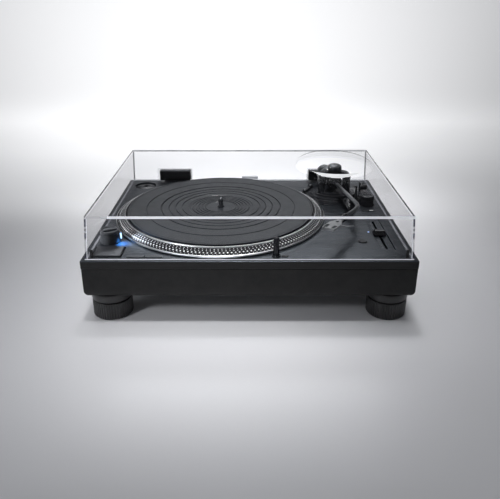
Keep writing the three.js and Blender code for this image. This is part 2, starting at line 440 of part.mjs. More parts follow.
// ---------------------------------------------------------------- dust cover
{
  const frustum = (o, z0, z1) => {
    const g = new THREE.BoxGeometry(1, 1, 1);
    const p = g.attributes.position;
    for (let i = 0; i < p.count; i++) {
      const top = p.getZ(i) > 0, z = top ? z1 : z0, k = (z - COVER.z0) / (COVER.z1 - COVER.z0);
      const hw = COVER.hwB + (COVER.hwT - COVER.hwB) * k - o;
      const f = COVER.fB + (COVER.fT - COVER.fB) * k + o, r = COVER.rB + (COVER.rT - COVER.rB) * k - o;
      p.setXYZ(i, p.getX(i) > 0 ? hw : -hw, p.getY(i) > 0 ? r : f, z);
    }
    return g;
  };
  const zt = COVER.z1, h = DOME.h;
  const domeOuter = turn([[0, zt - 2], [DOME.r, zt - 2], [DOME.r, zt + 0.4], [62.8, zt + 5], [60.4, zt + 10], [56.4, zt + 13.6], [50, zt + 15.6], [0, zt + h]], 40, DOME.x, DOME.y);
  const domeInner = turn([[0, zt - 6], [DOME.r - DOME.t, zt - 6], [61.2, zt + 0.4], [60.2, zt + 4.8], [57.8, zt + 9.0], [54.4, zt + 11.6], [49, zt + 13], [0, zt + h - DOME.t]], 40, DOME.x, DOME.y);
  const pocket = (s, a, b, z, y0) => box(s * HINGE.x - a, s * HINGE.x + a, y0, 343.6, b, z);
  let g = sum(frustum(0, COVER.z0, COVER.z1), domeOuter);
  g = cut(g, frustum(COVER.t, COVER.z0 - 1, COVER.z1 - COVER.t), domeInner);
  for (const s of [-1, 1]) {
    g = sum(g, common(pocket(s, 32.2, COVER.z0, 120.3, 329.5), frustum(0, COVER.z0, COVER.z1)));
    g = cut(g, box(s * HINGE.x - 29.2, s * HINGE.x + 29.2, 332.5, 352, COVER.z0 - 1, 117.3));
  }
  put('dust_cover', g, 'clear');
}
// soft cushions in the front corners and a small one at the back
for (const s of [-1, 1]) put(s < 0 ? 'cushion_front_left' : 'cushion_front_right',
  plate(s * 213.1 - 1.9, s * 213.1 + 1.9, 11.4, 13.8, DECK_TOP + SEAM, 106.2, 0.8, 0.3), 'rubber');
put('cushion_rear', plate(0.8 - 15, 0.8 + 15, 335.6, 339.8, 99.8, 105.6, 1.8, 0.6), 'light');

// ---------------------------------------------------------------- hinges
for (const s of [-1, 1]) {
  const side = s < 0 ? 'left' : 'right', x = s * HINGE.x;
  const { y, z, w } = HINGE;
  // bracket on the back of the plinth, with neck and barrel
  const base = cut(sum(
    box(-23.1, 23.1, PLINTH_D + 0.4, 352.0, 73, 97.4),
    box(-19.4, 19.4, 344.5, 352.0, 96.4, z),
    bar(V3(-19.4, y, z), V3(19.4, y, z), 4.2, 16)),
    bar(V3(-30, y, z), V3(30, y, z), 2.1, 12));
  put(`hinge_bracket_${side}`, base, 'black', [x, 0, 0]);
  const cheek = (x0, x1) => sum(bar(V3(x0, y, z), V3(x1, y, z), 3.6, 14), box(x0, x1, 334, y, 98.4, 110));
  const leaf = cut(sum(
    plate(-w / 2, w / 2, 333.1, 346.2, 109.6, 116.7, 0.8, 0.6),
    box(-20.5, 20.5, 333.1, 336.4, 101.8, 110.2), cheek(-w / 2, -20), cheek(20, w / 2)),
    bar(V3(-40, y, z), V3(40, y, z), 2.1, 12));
  put(`hinge_leaf_${side}`, leaf, 'black', [x, 0, 0]);
  put(`hinge_pin_${side}`, bar(V3(-28.2, y, z), V3(28.2, y, z), 1.8, 12), 'steel', [x, 0, 0]);
}

// ---------------------------------------------------------------- back sockets
const BACK = PLINTH_D - BASE_INSET;
put('jack_panel', cut(box(-195.6, -84.4, BACK - 9.4, BACK - 7.4, 49.9, 70.1),
  ...[-170, -148].map((x) => bar(V3(x, 300, 60), V3(x, 400, 60), 4.1, 16)),
  bar(V3(-112, 300, 60), V3(-112, 400, 60), 2.4, 14)), 'sheet');
for (const [n, x] of [['phono_jack_left', -170], ['phono_jack_right', -148]]) {
  const g = turn([[1.7, -3], [3.8, -3], [3.8, 2.3], [5.6, 2.3], [5.6, 4.6], [4.1, 5.0], [4.1, 12.4], [3.6, 13], [1.7, 13], [1.7, -3]], 14);
  g.rotateX(-Math.PI / 2);
  put(n, g, 'brass', [x, BACK - 9.4, 60]);
}
{
  const g = sum(turn([[0, -4], [2.1, -4], [2.1, 2.8], [6.4, 2.8], [6.4, 9.4], [5.6, 10.4], [0, 10.4]], 14), box(-0.6, 0.6, -6, 6, 9, 11.2));
  g.rotateX(-Math.PI / 2);
  put('ground_terminal', g, 'steel', [-112, BACK - 9.4, 60]);
}
put('power_inlet', sum(
  cut(box(96.5, 149.5, BACK - 9.4, BACK - 0.8, 48.5, 71.5), box(111, 135, BACK - 7.6, BACK + 2, 52, 68)),
  box(117, 119, BACK - 8, BACK - 1.6, 57, 63), box(127, 129, BACK - 8, BACK - 1.6, 57, 63)), 'black');

export default group;
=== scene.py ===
import bpy
import bmesh
import math
from mathutils import Matrix, Quaternion, Vector


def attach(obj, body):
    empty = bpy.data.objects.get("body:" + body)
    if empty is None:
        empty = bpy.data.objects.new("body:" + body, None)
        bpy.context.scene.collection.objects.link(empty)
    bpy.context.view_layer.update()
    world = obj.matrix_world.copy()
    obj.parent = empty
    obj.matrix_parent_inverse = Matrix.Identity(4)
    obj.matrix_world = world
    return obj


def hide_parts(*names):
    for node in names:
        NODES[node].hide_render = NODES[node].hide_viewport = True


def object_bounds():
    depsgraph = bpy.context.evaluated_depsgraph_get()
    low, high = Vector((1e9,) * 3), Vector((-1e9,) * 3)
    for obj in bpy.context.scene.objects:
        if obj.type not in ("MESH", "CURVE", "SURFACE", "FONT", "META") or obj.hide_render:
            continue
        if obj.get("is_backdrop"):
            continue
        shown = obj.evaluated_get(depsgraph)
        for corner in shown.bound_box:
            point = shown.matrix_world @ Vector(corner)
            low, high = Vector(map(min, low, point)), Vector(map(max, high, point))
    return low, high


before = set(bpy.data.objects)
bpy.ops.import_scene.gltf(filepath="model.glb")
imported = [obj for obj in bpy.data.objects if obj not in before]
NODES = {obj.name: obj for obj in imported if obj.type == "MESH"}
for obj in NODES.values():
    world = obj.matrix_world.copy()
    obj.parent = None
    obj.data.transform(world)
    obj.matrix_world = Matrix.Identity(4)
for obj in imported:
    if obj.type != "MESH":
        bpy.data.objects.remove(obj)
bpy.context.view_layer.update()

# ---------------------------------------------------------------- measures, in mm; y counts from the front face
MID = 176.0
DECK = 94.9
PLAT = (-45.94, 173.4)
PIVOT = (147.2, 262.0, 120.0)
ARM_AZ, SHELL_AZ, TILT = math.radians(8.9), math.radians(33.3), math.radians(1.8)
TOWER = (-199.7, 66.0)
LAMP = (36.2, 17.6)
ADAPTER = (-192.0, 313.5)
FEET = {"front_left": (-196.1, 33.2), "front_right": (196.1, 33.2), "rear_left": (-196.1, 314.5), "rear_right": (196.1, 314.5)}


def at(x, y, z):
    return Vector((x / 1000, (y - MID) / 1000, z / 1000))


# ---------------------------------------------------------------- materials
class Mat:
    """A node material built step by step around one Principled shader."""

    def __init__(self, name, rough=0.5, metal=0.0, spec=0.5):
        self.m = bpy.data.materials.new(name)
        self.m.use_nodes = True
        self.t = self.m.node_tree
        for n in list(self.t.nodes):
            self.t.nodes.remove(n)
        self.out = self.add("ShaderNodeOutputMaterial")
        self.p = self.add("ShaderNodeBsdfPrincipled")
        self.p.inputs["Roughness"].default_value = rough
        self.p.inputs["Metallic"].default_value = metal
        self.p.inputs["Specular IOR Level"].default_value = spec
        self.link(self.p.outputs[0], self.out.inputs["Surface"])
        self.tc = self.add("ShaderNodeTexCoord")

    def add(self, kind, **kw):
        n = self.t.nodes.new(kind)
        for k, v in kw.items():
            setattr(n, k, v)
        return n

    def link(self, a, b):
        self.t.links.new(a, b)

    def mapped(self, scale=(1, 1, 1), loc=(0, 0, 0)):
        m = self.add("ShaderNodeMapping")
        m.inputs["Scale"].default_value = scale
        m.inputs["Location"].default_value = loc
        self.link(self.tc.outputs["Object"], m.inputs["Vector"])
        return m.outputs[0]

    def noise(self, scale, vec=None, detail=4, rough=0.6, dist=0.0):
        n = self.add("ShaderNodeTexNoise")
        n.inputs["Scale"].default_value = scale
        n.inputs["Detail"].default_value = detail
        n.inputs["Roughness"].default_value = rough
        n.inputs["Distortion"].default_value = dist
        self.link(vec if vec is not None else self.tc.outputs["Object"], n.inputs["Vector"])
        return n.outputs["Fac"]

    def ramp(self, fac, stops):
        r = self.add("ShaderNodeValToRGB")
        e = r.color_ramp.elements
        while len(e) < len(stops):
            e.new(0.5)
        for el, (pos, col) in zip(e, stops):
            el.position = pos
            el.color = (*col, 1) if len(col) == 3 else col
        self.link(fac, r.inputs["Fac"])
        return r.outputs["Color"]

    def span(self, fac, lo, hi, a=0.3, b=0.7):
        m = self.add("ShaderNodeMapRange")
        m.inputs["From Min"].default_value = a
        m.inputs["From Max"].default_value = b
        m.inputs["To Min"].default_value = lo
        m.inputs["To Max"].default_value = hi
        self.link(fac, m.inputs["Value"])
        return m.outputs[0]

    def math(self, op, a, b=None):
        n = self.add("ShaderNodeMath", operation=op)
        for i, v in enumerate((a, b)):
            if v is None:
                continue
            if isinstance(v, (int, float)):
                n.inputs[i].default_value = v
            else:
                self.link(v, n.inputs[i])
        return n.outputs[0]

    def color(self, sock):
        self.link(sock, self.p.inputs["Base Color"])
        return self

    def rough(self, sock):
        self.link(sock, self.p.inputs["Roughness"])
        return self

    def bump(self, height, strength=0.2, dist=0.0002, chain=None):
        b = self.add("ShaderNodeBump")
        b.inputs["Strength"].default_value = strength
        b.inputs["Distance"].default_value = dist
        self.link(height, b.inputs["Height"])
        if chain is not None:
            self.link(chain, b.inputs["Normal"])
        self.link(b.outputs[0], self.p.inputs["Normal"])
        self.last = b.outputs[0]
        return self

    def radius(self, cx, cy):
        """Distance from an upright axis, in metres."""
        sub = self.add("ShaderNodeVectorMath", operation="SUBTRACT")
        self.link(self.tc.outputs["Object"], sub.inputs[0])
        c = at(cx, cy, 0)
        sub.inputs[1].default_value = (c.x, c.y, 0)
        flat = self.add("ShaderNodeVectorMath", operation="MULTIPLY")
        self.link(sub.outputs[0], flat.inputs[0])
        flat.inputs[1].default_value = (1, 1, 0)
        ln = self.add("ShaderNodeVectorMath", operation="LENGTH")
        self.link(flat.outputs[0], ln.inputs[0])
        return ln.outputs["Value"]


def plastic(name, dark, light, r0, r1, grain=900, bump=0.25, dist=0.00012, spec=0.4, metal=0.0, mottled=60):
    """Moulded or painted surface: faint mottling, fine grain, uneven gloss."""
    m = Mat(name, metal=metal, spec=spec)
    n = m.noise(mottled, detail=6)
    m.color(m.ramp(n, [(0.3, dark), (0.72, light)]))
    m.rough(m.span(m.noise(mottled * 2.3, detail=5), r0, r1))
    m.bump(m.noise(grain, detail=5, rough=0.7), bump, dist)
    return m


def hairline(name, dark, light, r0, r1, metal=0.7, along=(3, 900, 900), bump=0.18, spec=0.5):
    """Metal drawn in one direction, with fine lines across the other."""
    m = Mat(name, metal=metal, spec=spec)
    v = m.mapped(along)
    n = m.noise(1.0, v, detail=8, rough=0.75)
    m.color(m.ramp(n, [(0.28, dark), (0.74, light)]))
    m.rough(m.span(m.noise(1.4, v, detail=5), r0, r1))
    m.bump(n, bump, 0.00006)
    return m


def turned(name, cx, cy, dark, light, r0, r1, metal=1.0, lines=2600.0, bump=0.15):
    """Metal turned on a lathe: fine rings about an upright axis."""
    m = Mat(name, metal=metal)
    rad = m.math("MULTIPLY", m.radius(cx, cy), lines)
    n = m.add("ShaderNodeTexNoise", noise_dimensions="1D")
    n.inputs["Scale"].default_value = 1.0
    n.inputs["Detail"].default_value = 4
    m.link(rad, n.inputs["W"])
    m.color(m.ramp(n.outputs["Fac"], [(0.25, dark), (0.75, light)]))
    m.rough(m.span(n.outputs["Fac"], r0, r1))
    m.bump(n.outputs["Fac"], bump, 0.00005)
    return m


M = {}
M["deck"] = hairline("deck_hairline", (0.044, 0.050, 0.060), (0.055, 0.062, 0.073), 0.26, 0.31, metal=0.75, along=(14, 1500, 1500), bump=0.02)
M["deck_band"] = hairline("deck_band_hairline", (0.022, 0.0218, 0.0222), (0.030, 0.0298, 0.0302), 0.46, 0.56, metal=0.0, along=(20, 900, 900), bump=0.03, spec=0.22)
M["plinth"] = plastic("plinth_textured", (0.020, 0.0198, 0.0200), (0.029, 0.0287, 0.0290), 0.50, 0.60, grain=1600, bump=0.35, dist=0.00016, spec=0.20)
M["foot"] = plastic("foot_moulded", (0.016, 0.016, 0.017), (0.030, 0.030, 0.031), 0.30, 0.42, grain=1500, spec=0.5)
M["rubber"] = plastic("cushion_rubber", (0.010, 0.010, 0.011), (0.024, 0.024, 0.025), 0.55, 0.75, grain=2200, bump=0.3)
M["black"] = plastic("black_moulded", (0.007, 0.007, 0.009), (0.014, 0.014, 0.017), 0.30, 0.42, grain=900, bump=0.04, spec=0.32)
M["black_matt"] = plastic("black_matt", (0.010, 0.010, 0.012), (0.020, 0.020, 0.022), 0.42, 0.58, grain=2200, bump=0.2, spec=0.4)
M["black_metal"] = plastic("black_lacquered_metal", (0.010, 0.011, 0.014), (0.018, 0.019, 0.024), 0.20, 0.28, grain=900, bump=0.02, metal=0.2)
M["button"] = hairline("button_hairline", (0.064, 0.067, 0.075), (0.080, 0.084, 0.093), 0.27, 0.33, metal=0.75, along=(14, 1500, 1500), bump=0.02)
M["tube"] = hairline("arm_plated", (0.17, 0.175, 0.185), (0.24, 0.245, 0.26), 0.26, 0.34, metal=0.9, along=(300, 300, 300), bump=0.02)
M["shell"] = hairline("headshell_satin", (0.24, 0.245, 0.25), (0.34, 0.345, 0.35), 0.26, 0.36, metal=0.9, along=(160, 26, 160), bump=0.06)
M["steel"] = hairline("steel_polished", (0.62, 0.62, 0.64), (0.80, 0.80, 0.82), 0.10, 0.20, metal=1.0, along=(500, 500, 60), bump=0.05)
M["brass"] = hairline("brass_plated", (0.62, 0.42, 0.16), (0.82, 0.62, 0.28), 0.16, 0.28, metal=1.0, along=(400, 60, 400), bump=0.06)
M["sheet"] = plastic("zinc_sheet", (0.16, 0.165, 0.17), (0.24, 0.245, 0.25), 0.34, 0.5, grain=500, bump=0.08, metal=0.7, mottled=35)
M["copper"] = hairline("wound_copper", (0.36, 0.15, 0.06), (0.62, 0.30, 0.13), 0.28, 0.42, metal=0.9, along=(1200, 1200, 90))
M["ferrite"] = plastic("ferrite", (0.03, 0.03, 0.033), (0.06, 0.06, 0.064), 0.5, 0.7, grain=900)
M["board"] = plastic("printed_board", (0.010, 0.055, 0.025), (0.02, 0.10, 0.045), 0.35, 0.5, grain=700, mottled=260)
M["ring"] = turned("rim_polished", *PLAT, (0.84, 0.85, 0.86), (0.95, 0.96, 0.97), 0.26, 0.34, bump=0.05)
M["rim"] = turned("rim_dark", *PLAT, (0.006, 0.006, 0.008), (0.014, 0.014, 0.017), 0.46, 0.56, metal=0.0, bump=0.05)
M["rim"].p.inputs["Specular IOR Level"].default_value = 0.15
M["dot"] = plastic("strobe_dot", (0.84, 0.85, 0.87), (0.97, 0.97, 0.98), 0.18, 0.28, grain=1200, bump=0.04, metal=0.1)
# painted glow: the strobe dots, and the range key mark drawn in the same material, give off a faint light though they
# are no lamp
M["dot"].p.inputs["Emission Color"].default_value = (0.9, 0.95, 1.0, 1)
M["dot"].p.inputs["Emission Strength"].default_value = 0.15
M["print"] = plastic("printed_marks", (0.55, 0.56, 0.58), (0.70, 0.70, 0.72), 0.35, 0.5, grain=1200, bump=0.04)
M["turned_dark"] = hairline("spindle_turned", (0.20, 0.205, 0.215), (0.32, 0.325, 0.335), 0.12, 0.2, metal=1.0, along=(300, 300, 40), bump=0.02)
M["knob"] = plastic("knob_satin", (0.050, 0.053, 0.060), (0.075, 0.079, 0.087), 0.28, 0.40, grain=1600, bump=0.06, metal=0.7)


def _mat_rubber():
    m = Mat("mat_rubber", spec=0.36)
    n = m.noise(38, detail=6)
    m.color(m.ramp(n, [(0.3, (0.008, 0.010, 0.0145)), (0.75, (0.014, 0.017, 0.023))]))
    m.rough(m.span(m.noise(90, detail=4), 0.38, 0.46))
    m.bump(m.noise(260, detail=3), 0.08, 0.00008)
    return m


M["mat"] = _mat_rubber()


def _glow(name, colour, strength):
    m = Mat(name, rough=0.25)
    n = m.noise(400, detail=3)
    c = m.ramp(n, [(0.3, tuple(0.9 * k for k in colour)), (0.7, colour)])
    m.color(c)
    m.link(c, m.p.inputs["Emission Color"])
    m.p.inputs["Emission Strength"].default_value = strength
    return m


M["window"] = _glow("strobe_window_lit", (0.42, 0.68, 1.0), 2.6)
M["tower"] = plastic("tower_satin", (0.022, 0.024, 0.027), (0.030, 0.032, 0.036), 0.40, 0.50, grain=1600, bump=0.06, metal=0.0, spec=0.15)
M["cap"] = plastic("knob_cap_satin", (0.060, 0.063, 0.069), (0.088, 0.092, 0.100), 0.28, 0.36, grain=1600, bump=0.05, metal=0.6)
M["fader"] = plastic("fader_matt", (0.005, 0.005, 0.006), (0.010, 0.010, 0.012), 0.46, 0.56, grain=1600, bump=0.08, spec=0.12)
M["led"] = _glow("pitch_lamp_lit", (0.45, 0.60, 1.0), 0.7)


def acrylic(name, tint, ior, gain, rough=0.02, haze=0.0):
    """Clear sheet: lets light straight through and mirrors more at flat angles, on the side it faces."""
    m = Mat(name, rough=rough)
    m.p.inputs["Base Color"].default_value = (0.92, 0.94, 0.96, 1)
    n = m.noise(14, detail=3)
    m.rough(m.span(n, rough, rough * 1.8))
    clear = m.add("ShaderNodeBsdfTransparent")
    m.link(m.ramp(m.noise(9, detail=2), [(0.3, tint), (0.7, tuple(min(1.0, k * 1.012) for k in tint))]), clear.inputs["Color"])
    gloss = m.add("ShaderNodeBsdfGlossy")
    gloss.inputs["Color"].default_value = (0.95, 0.96, 0.98, 1)
    m.link(m.span(n, rough, rough * 1.8), gloss.inputs["Roughness"])
    fr = m.add("ShaderNodeFresnel")
    fr.inputs["IOR"].default_value = ior
    geo = m.add("ShaderNodeNewGeometry")
    front = m.math("SUBTRACT", 1.0, geo.outputs["Backfacing"])
    fac = m.math("MULTIPLY", m.math("MULTIPLY", fr.outputs[0], front), gain)
    mix = m.add("ShaderNodeMixShader")
    m.link(fac, mix.inputs["Fac"])
    m.link(clear.outputs[0], mix.inputs[1])
    m.link(gloss.outputs[0], mix.inputs[2])
    last = mix.outputs[0]
    if haze > 0:
        m.p.inputs["Base Color"].default_value = (0.95, 0.96, 0.98, 1)
        hz = m.add("ShaderNodeMixShader")
        m.link(m.span(m.noise(30, detail=3), haze * 0.9, haze * 1.1), hz.inputs["Fac"])
        m.link(last, hz.inputs[1])
        m.link(m.p.outputs[0], hz.inputs[2])
        last = hz.outputs[0]
    m.link(last, m.out.inputs["Surface"])
    return m


M["clear"] = acrylic("acrylic_clear", (0.975, 0.976, 0.979), 1.45, 0.16)
M["clear_top"] = acrylic("acrylic_top", (0.936, 0.937, 0.941), 1.45, 0.10)
M["clear_side"] = acrylic("acrylic_side", (0.885, 0.882, 0.885), 1.45, 0.3)
M["smoke"] = acrylic("acrylic_smoked", (0.34, 0.34, 0.38), 1.45, 0.35)
M["clear_dome"] = acrylic("acrylic_dome", (0.999, 0.999, 1.0), 1.45, 0.08)


# Acrylic edge strip of painted light: its colour glows as a painted highlight, or, dark and without glow, stands as a
# painted dark reflection; alpha lets the clear sheet partly show through.
def _edge(name, a, b, glow, alpha=None):
    m = Mat(name, rough=0.16, spec=0.6)
    n = m.noise(70, m.mapped((1, 1, 6)), detail=4)
    c = m.ramp(n, [(0.3, a), (0.7, b)])
    m.color(c)
    m.link(c, m.p.inputs["Emission Color"])
    m.p.inputs["Emission Strength"].default_value = glow
    if alpha is not None:
        clear = m.add("ShaderNodeBsdfTransparent")
        mix = m.add("ShaderNodeMixShader")
        m.link(m.span(m.noise(55, detail=3), alpha * 0.85, min(1.0, alpha * 1.15)), mix.inputs["Fac"])
        m.link(clear.outputs[0], mix.inputs[1])
        m.link(m.p.outputs[0], mix.inputs[2])
        m.link(mix.outputs[0], m.out.inputs["Surface"])
    return m


# painted highlights for the cover's edge bands and the dome's rim; edge_dark is a painted dark reflection
M["edge_bright"] = _edge("acrylic_edge_painted_highlight", (0.72, 0.74, 0.80), (0.90, 0.91, 0.95), 0.42)
M["dome_bright"] = _edge("acrylic_dome_rim_painted_highlight", (0.90, 0.91, 0.93), (0.98, 0.98, 0.99), 0.60)
M["edge_soft"] = _edge("acrylic_edge_painted_soft_highlight", (0.62, 0.64, 0.68), (0.80, 0.81, 0.85), 0.12, 0.75)
M["edge_low"] = _edge("acrylic_edge_painted_low_highlight", (0.40, 0.41, 0.45), (0.56, 0.57, 0.62), 0.07, 0.6)
M["edge_faint"] = _edge("acrylic_edge_painted_faint_highlight", (0.50, 0.51, 0.56), (0.66, 0.67, 0.72), 0.04, 0.3)
M["edge_dark"] = _edge("acrylic_edge_painted_dark_reflection", (0.06, 0.06, 0.08), (0.14, 0.14, 0.17), 0.0, 0.85)


def _striped(name, axis, period, dark, light, duty, alpha, glow):
    """Sheet edge painted with short light and dark stretches, a painted reflection of the room in a sawn edge; the
    light stretches glow.
    """
    m = Mat(name, rough=0.2, spec=0.6)
    sep = m.add("ShaderNodeSeparateXYZ")
    m.link(m.tc.outputs["Object"], sep.inputs[0])
    ph = m.math("FRACT", m.math("MULTIPLY", sep.outputs[axis], 1.0 / period))
    on = m.math("GREATER_THAN", ph, duty)
    c = m.ramp(m.math("MULTIPLY", on, m.span(m.noise(300, detail=2), 0.7, 1.0)), [(0.0, dark), (1.0, light)])
    m.color(c)
    m.link(c, m.p.inputs["Emission Color"])
    m.p.inputs["Emission Strength"].default_value = glow
    clear = m.add("ShaderNodeBsdfTransparent")
    mix = m.add("ShaderNodeMixShader")
    m.link(m.span(m.noise(120, detail=3), alpha * 0.8, min(1.0, alpha * 1.2)), mix.inputs["Fac"])
    m.link(clear.outputs[0], mix.inputs[1])
    m.link(m.p.outputs[0], mix.inputs[2])
    m.link(mix.outputs[0], m.out.inputs["Surface"])
    return m


M["edge_hatch"] = _striped("acrylic_edge_painted_dotted_reflection", 1, 0.0042, (0.03, 0.03, 0.04), (0.62, 0.63, 0.66), 0.55, 0.75, 0.35)


def _corner():
    """Outer strip of a front corner: clear, with a few painted dark glints one above another, painted reflections in
    the acrylic.
    """
    m = Mat("acrylic_corner_painted_glints", rough=0.12, spec=0.6)
    m.color(m.ramp(m.noise(200, detail=3), [(0.3, (0.05, 0.05, 0.09)), (0.7, (0.12, 0.12, 0.18))]))
    sep = m.add("ShaderNodeSeparateXYZ")
    m.link(m.tc.outputs["Object"], sep.inputs[0])
    up = m.add("ShaderNodeMapRange")
    up.inputs["From Min"].default_value = 0.095
    up.inputs["From Max"].default_value = 0.156
    m.link(sep.outputs[2], up.inputs["Value"])
    r = m.add("ShaderNodeValToRGB")
    r.color_ramp.interpolation = "EASE"
    stops = [(0.0, 0.25), (0.07, 0.9), (0.13, 0.15), (0.45, 0.12), (0.53, 0.85), (0.60, 0.85), (0.64, 0.15), (0.69, 0.75), (0.74, 0.2), (0.78, 0.9), (0.96, 0.9), (1.0, 0.4)]
    e = r.color_ramp.elements
    while len(e) < len(stops):
        e.new(0.5)
    for el, (pos, v) in zip(e, stops):
        el.position = pos
        el.color = (v, v, v, 1)
    m.link(up.outputs[0], r.inputs["Fac"])
    clear = m.add("ShaderNodeBsdfTransparent")
    clear.inputs["Color"].default_value = (0.9, 0.9, 0.92, 1)
    mix = m.add("ShaderNodeMixShader")
    m.link(r.outputs["Color"], mix.inputs["Fac"])
    m.link(clear.outputs[0], mix.inputs[1])
    m.link(m.p.outputs[0], mix.inputs[2])
    m.link(mix.outputs[0], m.out.inputs["Surface"])
    return m


M["corner"] = _corner()

# ---------------------------------------------------------------- mesh helpers


def make(name, verts, faces, mats, body, node=None, slot=None, sharp=32, face_mats=None, recalc=True, smooth=True):
    me = bpy.data.meshes.new(name)
    me.from_pydata([tuple(v) for v in verts], [], faces)
    if not isinstance(mats, (list, tuple)):
        mats = [mats]
    for m in mats:
        me.materials.append(M[m].m if isinstance(m, str) else m)
    if face_mats:
        for p, k in zip(me.polygons, face_mats):
            p.material_index = k
    bm = bmesh.new()
    bm.from_mesh(me)
    bmesh.ops.remove_doubles(bm, verts=bm.verts, dist=1e-7)
    if recalc:
        bmesh.ops.recalc_face_normals(bm, faces=bm.faces)
    bm.to_mesh(me)
    bm.free()
    if smooth:
        me.shade_smooth()
        me.set_sharp_from_angle(angle=math.radians(sharp))
    o = bpy.data.objects.new(name, me)
    bpy.context.scene.collection.objects.link(o)
    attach(o, body)
    if node:
        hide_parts(*([node] if isinstance(node, str) else node))
    return o


def lathe_data(profile, segs, place, mods=None):
    """profile: [r, z] or [r, z, wave]; wave names a function of the segment index that changes the radius."""
    verts, faces, rings = [], [], []
    for row in profile:
        r, z = row[0], row[1]
        if r < 1e-6:
            rings.append([len(verts)])
            verts.append(place(0, 0, z))
            continue
        ids = []
        for i in range(segs):
            rr = r - (row[2](i) if len(row) > 2 else 0.0)
            a = 2 * math.pi * i / segs
            ids.append(len(verts))
            verts.append(place(rr * math.cos(a), rr * math.sin(a), z))
        rings.append(ids)
    marks = []
    for k, (a, b) in enumerate(zip(rings, rings[1:])):
        for i in range(segs):
            j = (i + 1) % segs
            if len(a) == 1 and len(b) == 1:
                continue
            if len(a) == 1:
                faces.append((a[0], b[i], b[j]))
            elif len(b) == 1:
                faces.append((a[i], a[j], b[0]))
            else:
                faces.append((a[i], a[j], b[j], b[i]))
            marks.append(k)
    return verts, faces, marks


def upright(cx, cy):
    return lambda x, y, z: at(cx + x, cy + y, z)


def lathe(name, profile, segs, centre, mats, body, node=None, slot=None, sharp=32, bands=None):
    v, f, marks = lathe_data(profile, segs, upright(*centre))
    fm = [bands[k] if bands else 0 for k in marks]
    return make(name, v, f, mats, body, node, slot, sharp, fm)


def round_rect(x0, x1, y0, y1, r, steps=8):
    pts = []
    for cx, cy, a0 in ((x1 - r, y0 + r, -90), (x1 - r, y1 - r, 0), (x0 + r, y1 - r, 90), (x0 + r, y0 + r, 180)):
        for k in range(steps + 1):
            a = math.radians(a0 + 90 * k / steps)
            pts.append((cx + r * math.cos(a), cy + r * math.sin(a)))
    return pts


def loft_rect(rows, steps=8):
    """Closed solid through rounded rectangles; rows: (x0, x1, y0, y1, r, z) from the bottom up."""
    verts, faces = [], []
    n = 4 * (steps + 1)
    for x0, x1, y0, y1, r, z in rows:
        verts += [at(x, y, z) for x, y in round_rect(x0, x1, y0, y1, r, steps)]
    for k in range(len(rows) - 1):
        for i in range(n):
            j = (i + 1) % n
            faces.append((k * n + i, k * n + j, (k + 1) * n + j, (k + 1) * n + i))
    faces.append(tuple(reversed(range(n))))
    faces.append(tuple(range((len(rows) - 1) * n, len(rows) * n)))
    return verts, faces


def cushioned(x0, x1, y0, y1, z0, z1, r, soft, steps=6, under=True):
    """Rows of a block with rounded top edges and, with under, rounded bottom edges."""
    rows = []
    if under:
        for k in range(steps + 1):
            a = math.pi / 2 * k / steps
            o = soft * (1 - math.sin(a))
            rows.append((x0 + o, x1 - o, y0 + o, y1 - o, max(r - o, 0.05), z0 + soft * (1 - math.cos(a))))
    else:
        rows.append((x0, x1, y0, y1, r, z0))
    for k in range(steps + 1):
        a = math.pi / 2 * k / steps
        o = soft * (1 - math.cos(a))
        rows.append((x0 + o, x1 - o, y0 + o, y1 - o, max(r - o, 0.05), z1 - soft + soft * math.sin(a)))
    return rows


def block(name, x0, x1, y0, y1, z0, z1, r, soft, mats, body, node=None, slot=None, steps=5, under=False, sharp=40):
    v, f = loft_rect(cushioned(x0, x1, y0, y1, z0, z1, r, soft, steps, under), 6)
    return make(name, v, f, mats, body, node, slot, sharp)


def tube_data(points, radius, segs=20, ends=True):
    """Round bar along points; radius may change along it. Kept from twisting by carrying one side vector."""
    n = len(points)
    rad = radius if callable(radius) else (lambda t: radius)
    verts, faces = [], []
    side = None
    for i, p in enumerate(points):
        d = (points[min(i + 1, n - 1)] - points[max(i - 1, 0)]).normalized()
        if side is None:
            up = Vector((0, 0, 1)) if abs(d.z) < 0.9 else Vector((1, 0, 0))
            side = d.cross(up).normalized()
        side = (side - d * side.dot(d)).normalized()
        up = d.cross(side)
        r = rad(i / (n - 1)) / 1000
        for k in range(segs):
            a = 2 * math.pi * k / segs
            verts.append(p + side * (r * math.cos(a)) + up * (r * math.sin(a)))
    for i in range(n - 1):
        for k in range(segs):
            j = (k + 1) % segs
            faces.append((i * segs + k, i * segs + j, (i + 1) * segs + j, (i + 1) * segs + k))
    if ends:
        faces.append(tuple(reversed(range(segs))))
        faces.append(tuple(range((n - 1) * segs, n * segs)))
    return verts, faces


def merged(*parts):
    verts, faces = [], []
    for v, f in parts:
        o = len(verts)
        verts += list(v)
        faces += [tuple(i + o for i in q) for q in f]
    return verts, faces


def smooth_path(pts, per=8):
    """Catmull-Rom line through points."""
    out = []
    n = len(pts)
    for i in range(n - 1):
        p0, p1, p2, p3 = pts[max(i - 1, 0)], pts[i], pts[i + 1], pts[min(i + 2, n - 1)]
        for k in range(per):
            t = k / per
            out.append(0.5 * ((2 * p1) + (p2 - p0) * t + (2 * p0 - 5 * p1 + 4 * p2 - p3) * t * t + (3 * p1 - p0 - 3 * p2 + p3) * t ** 3))
    out.append(pts[-1])
    return out


def dress(node, mat, bevel=0.0, slot=None):
    """Finish for a CAD node that stays: material and softened edges; smooth shading comes later, for all CAD nodes that
    stay.
    """
    o = NODES[node]
    o.data.materials.clear()
    o.data.materials.append(M[mat].m)
    if bevel:
        b = o.modifiers.new("soft_edges", "BEVEL")
        b.width = bevel / 1000
        b.segments = 2
        b.limit_method = "ANGLE"
        b.angle_limit = math.radians(38)
        b.harden_normals = False
    return o


# ---------------------------------------------------------------- plinth and deck
R_IN = 0.4
W = 226.8


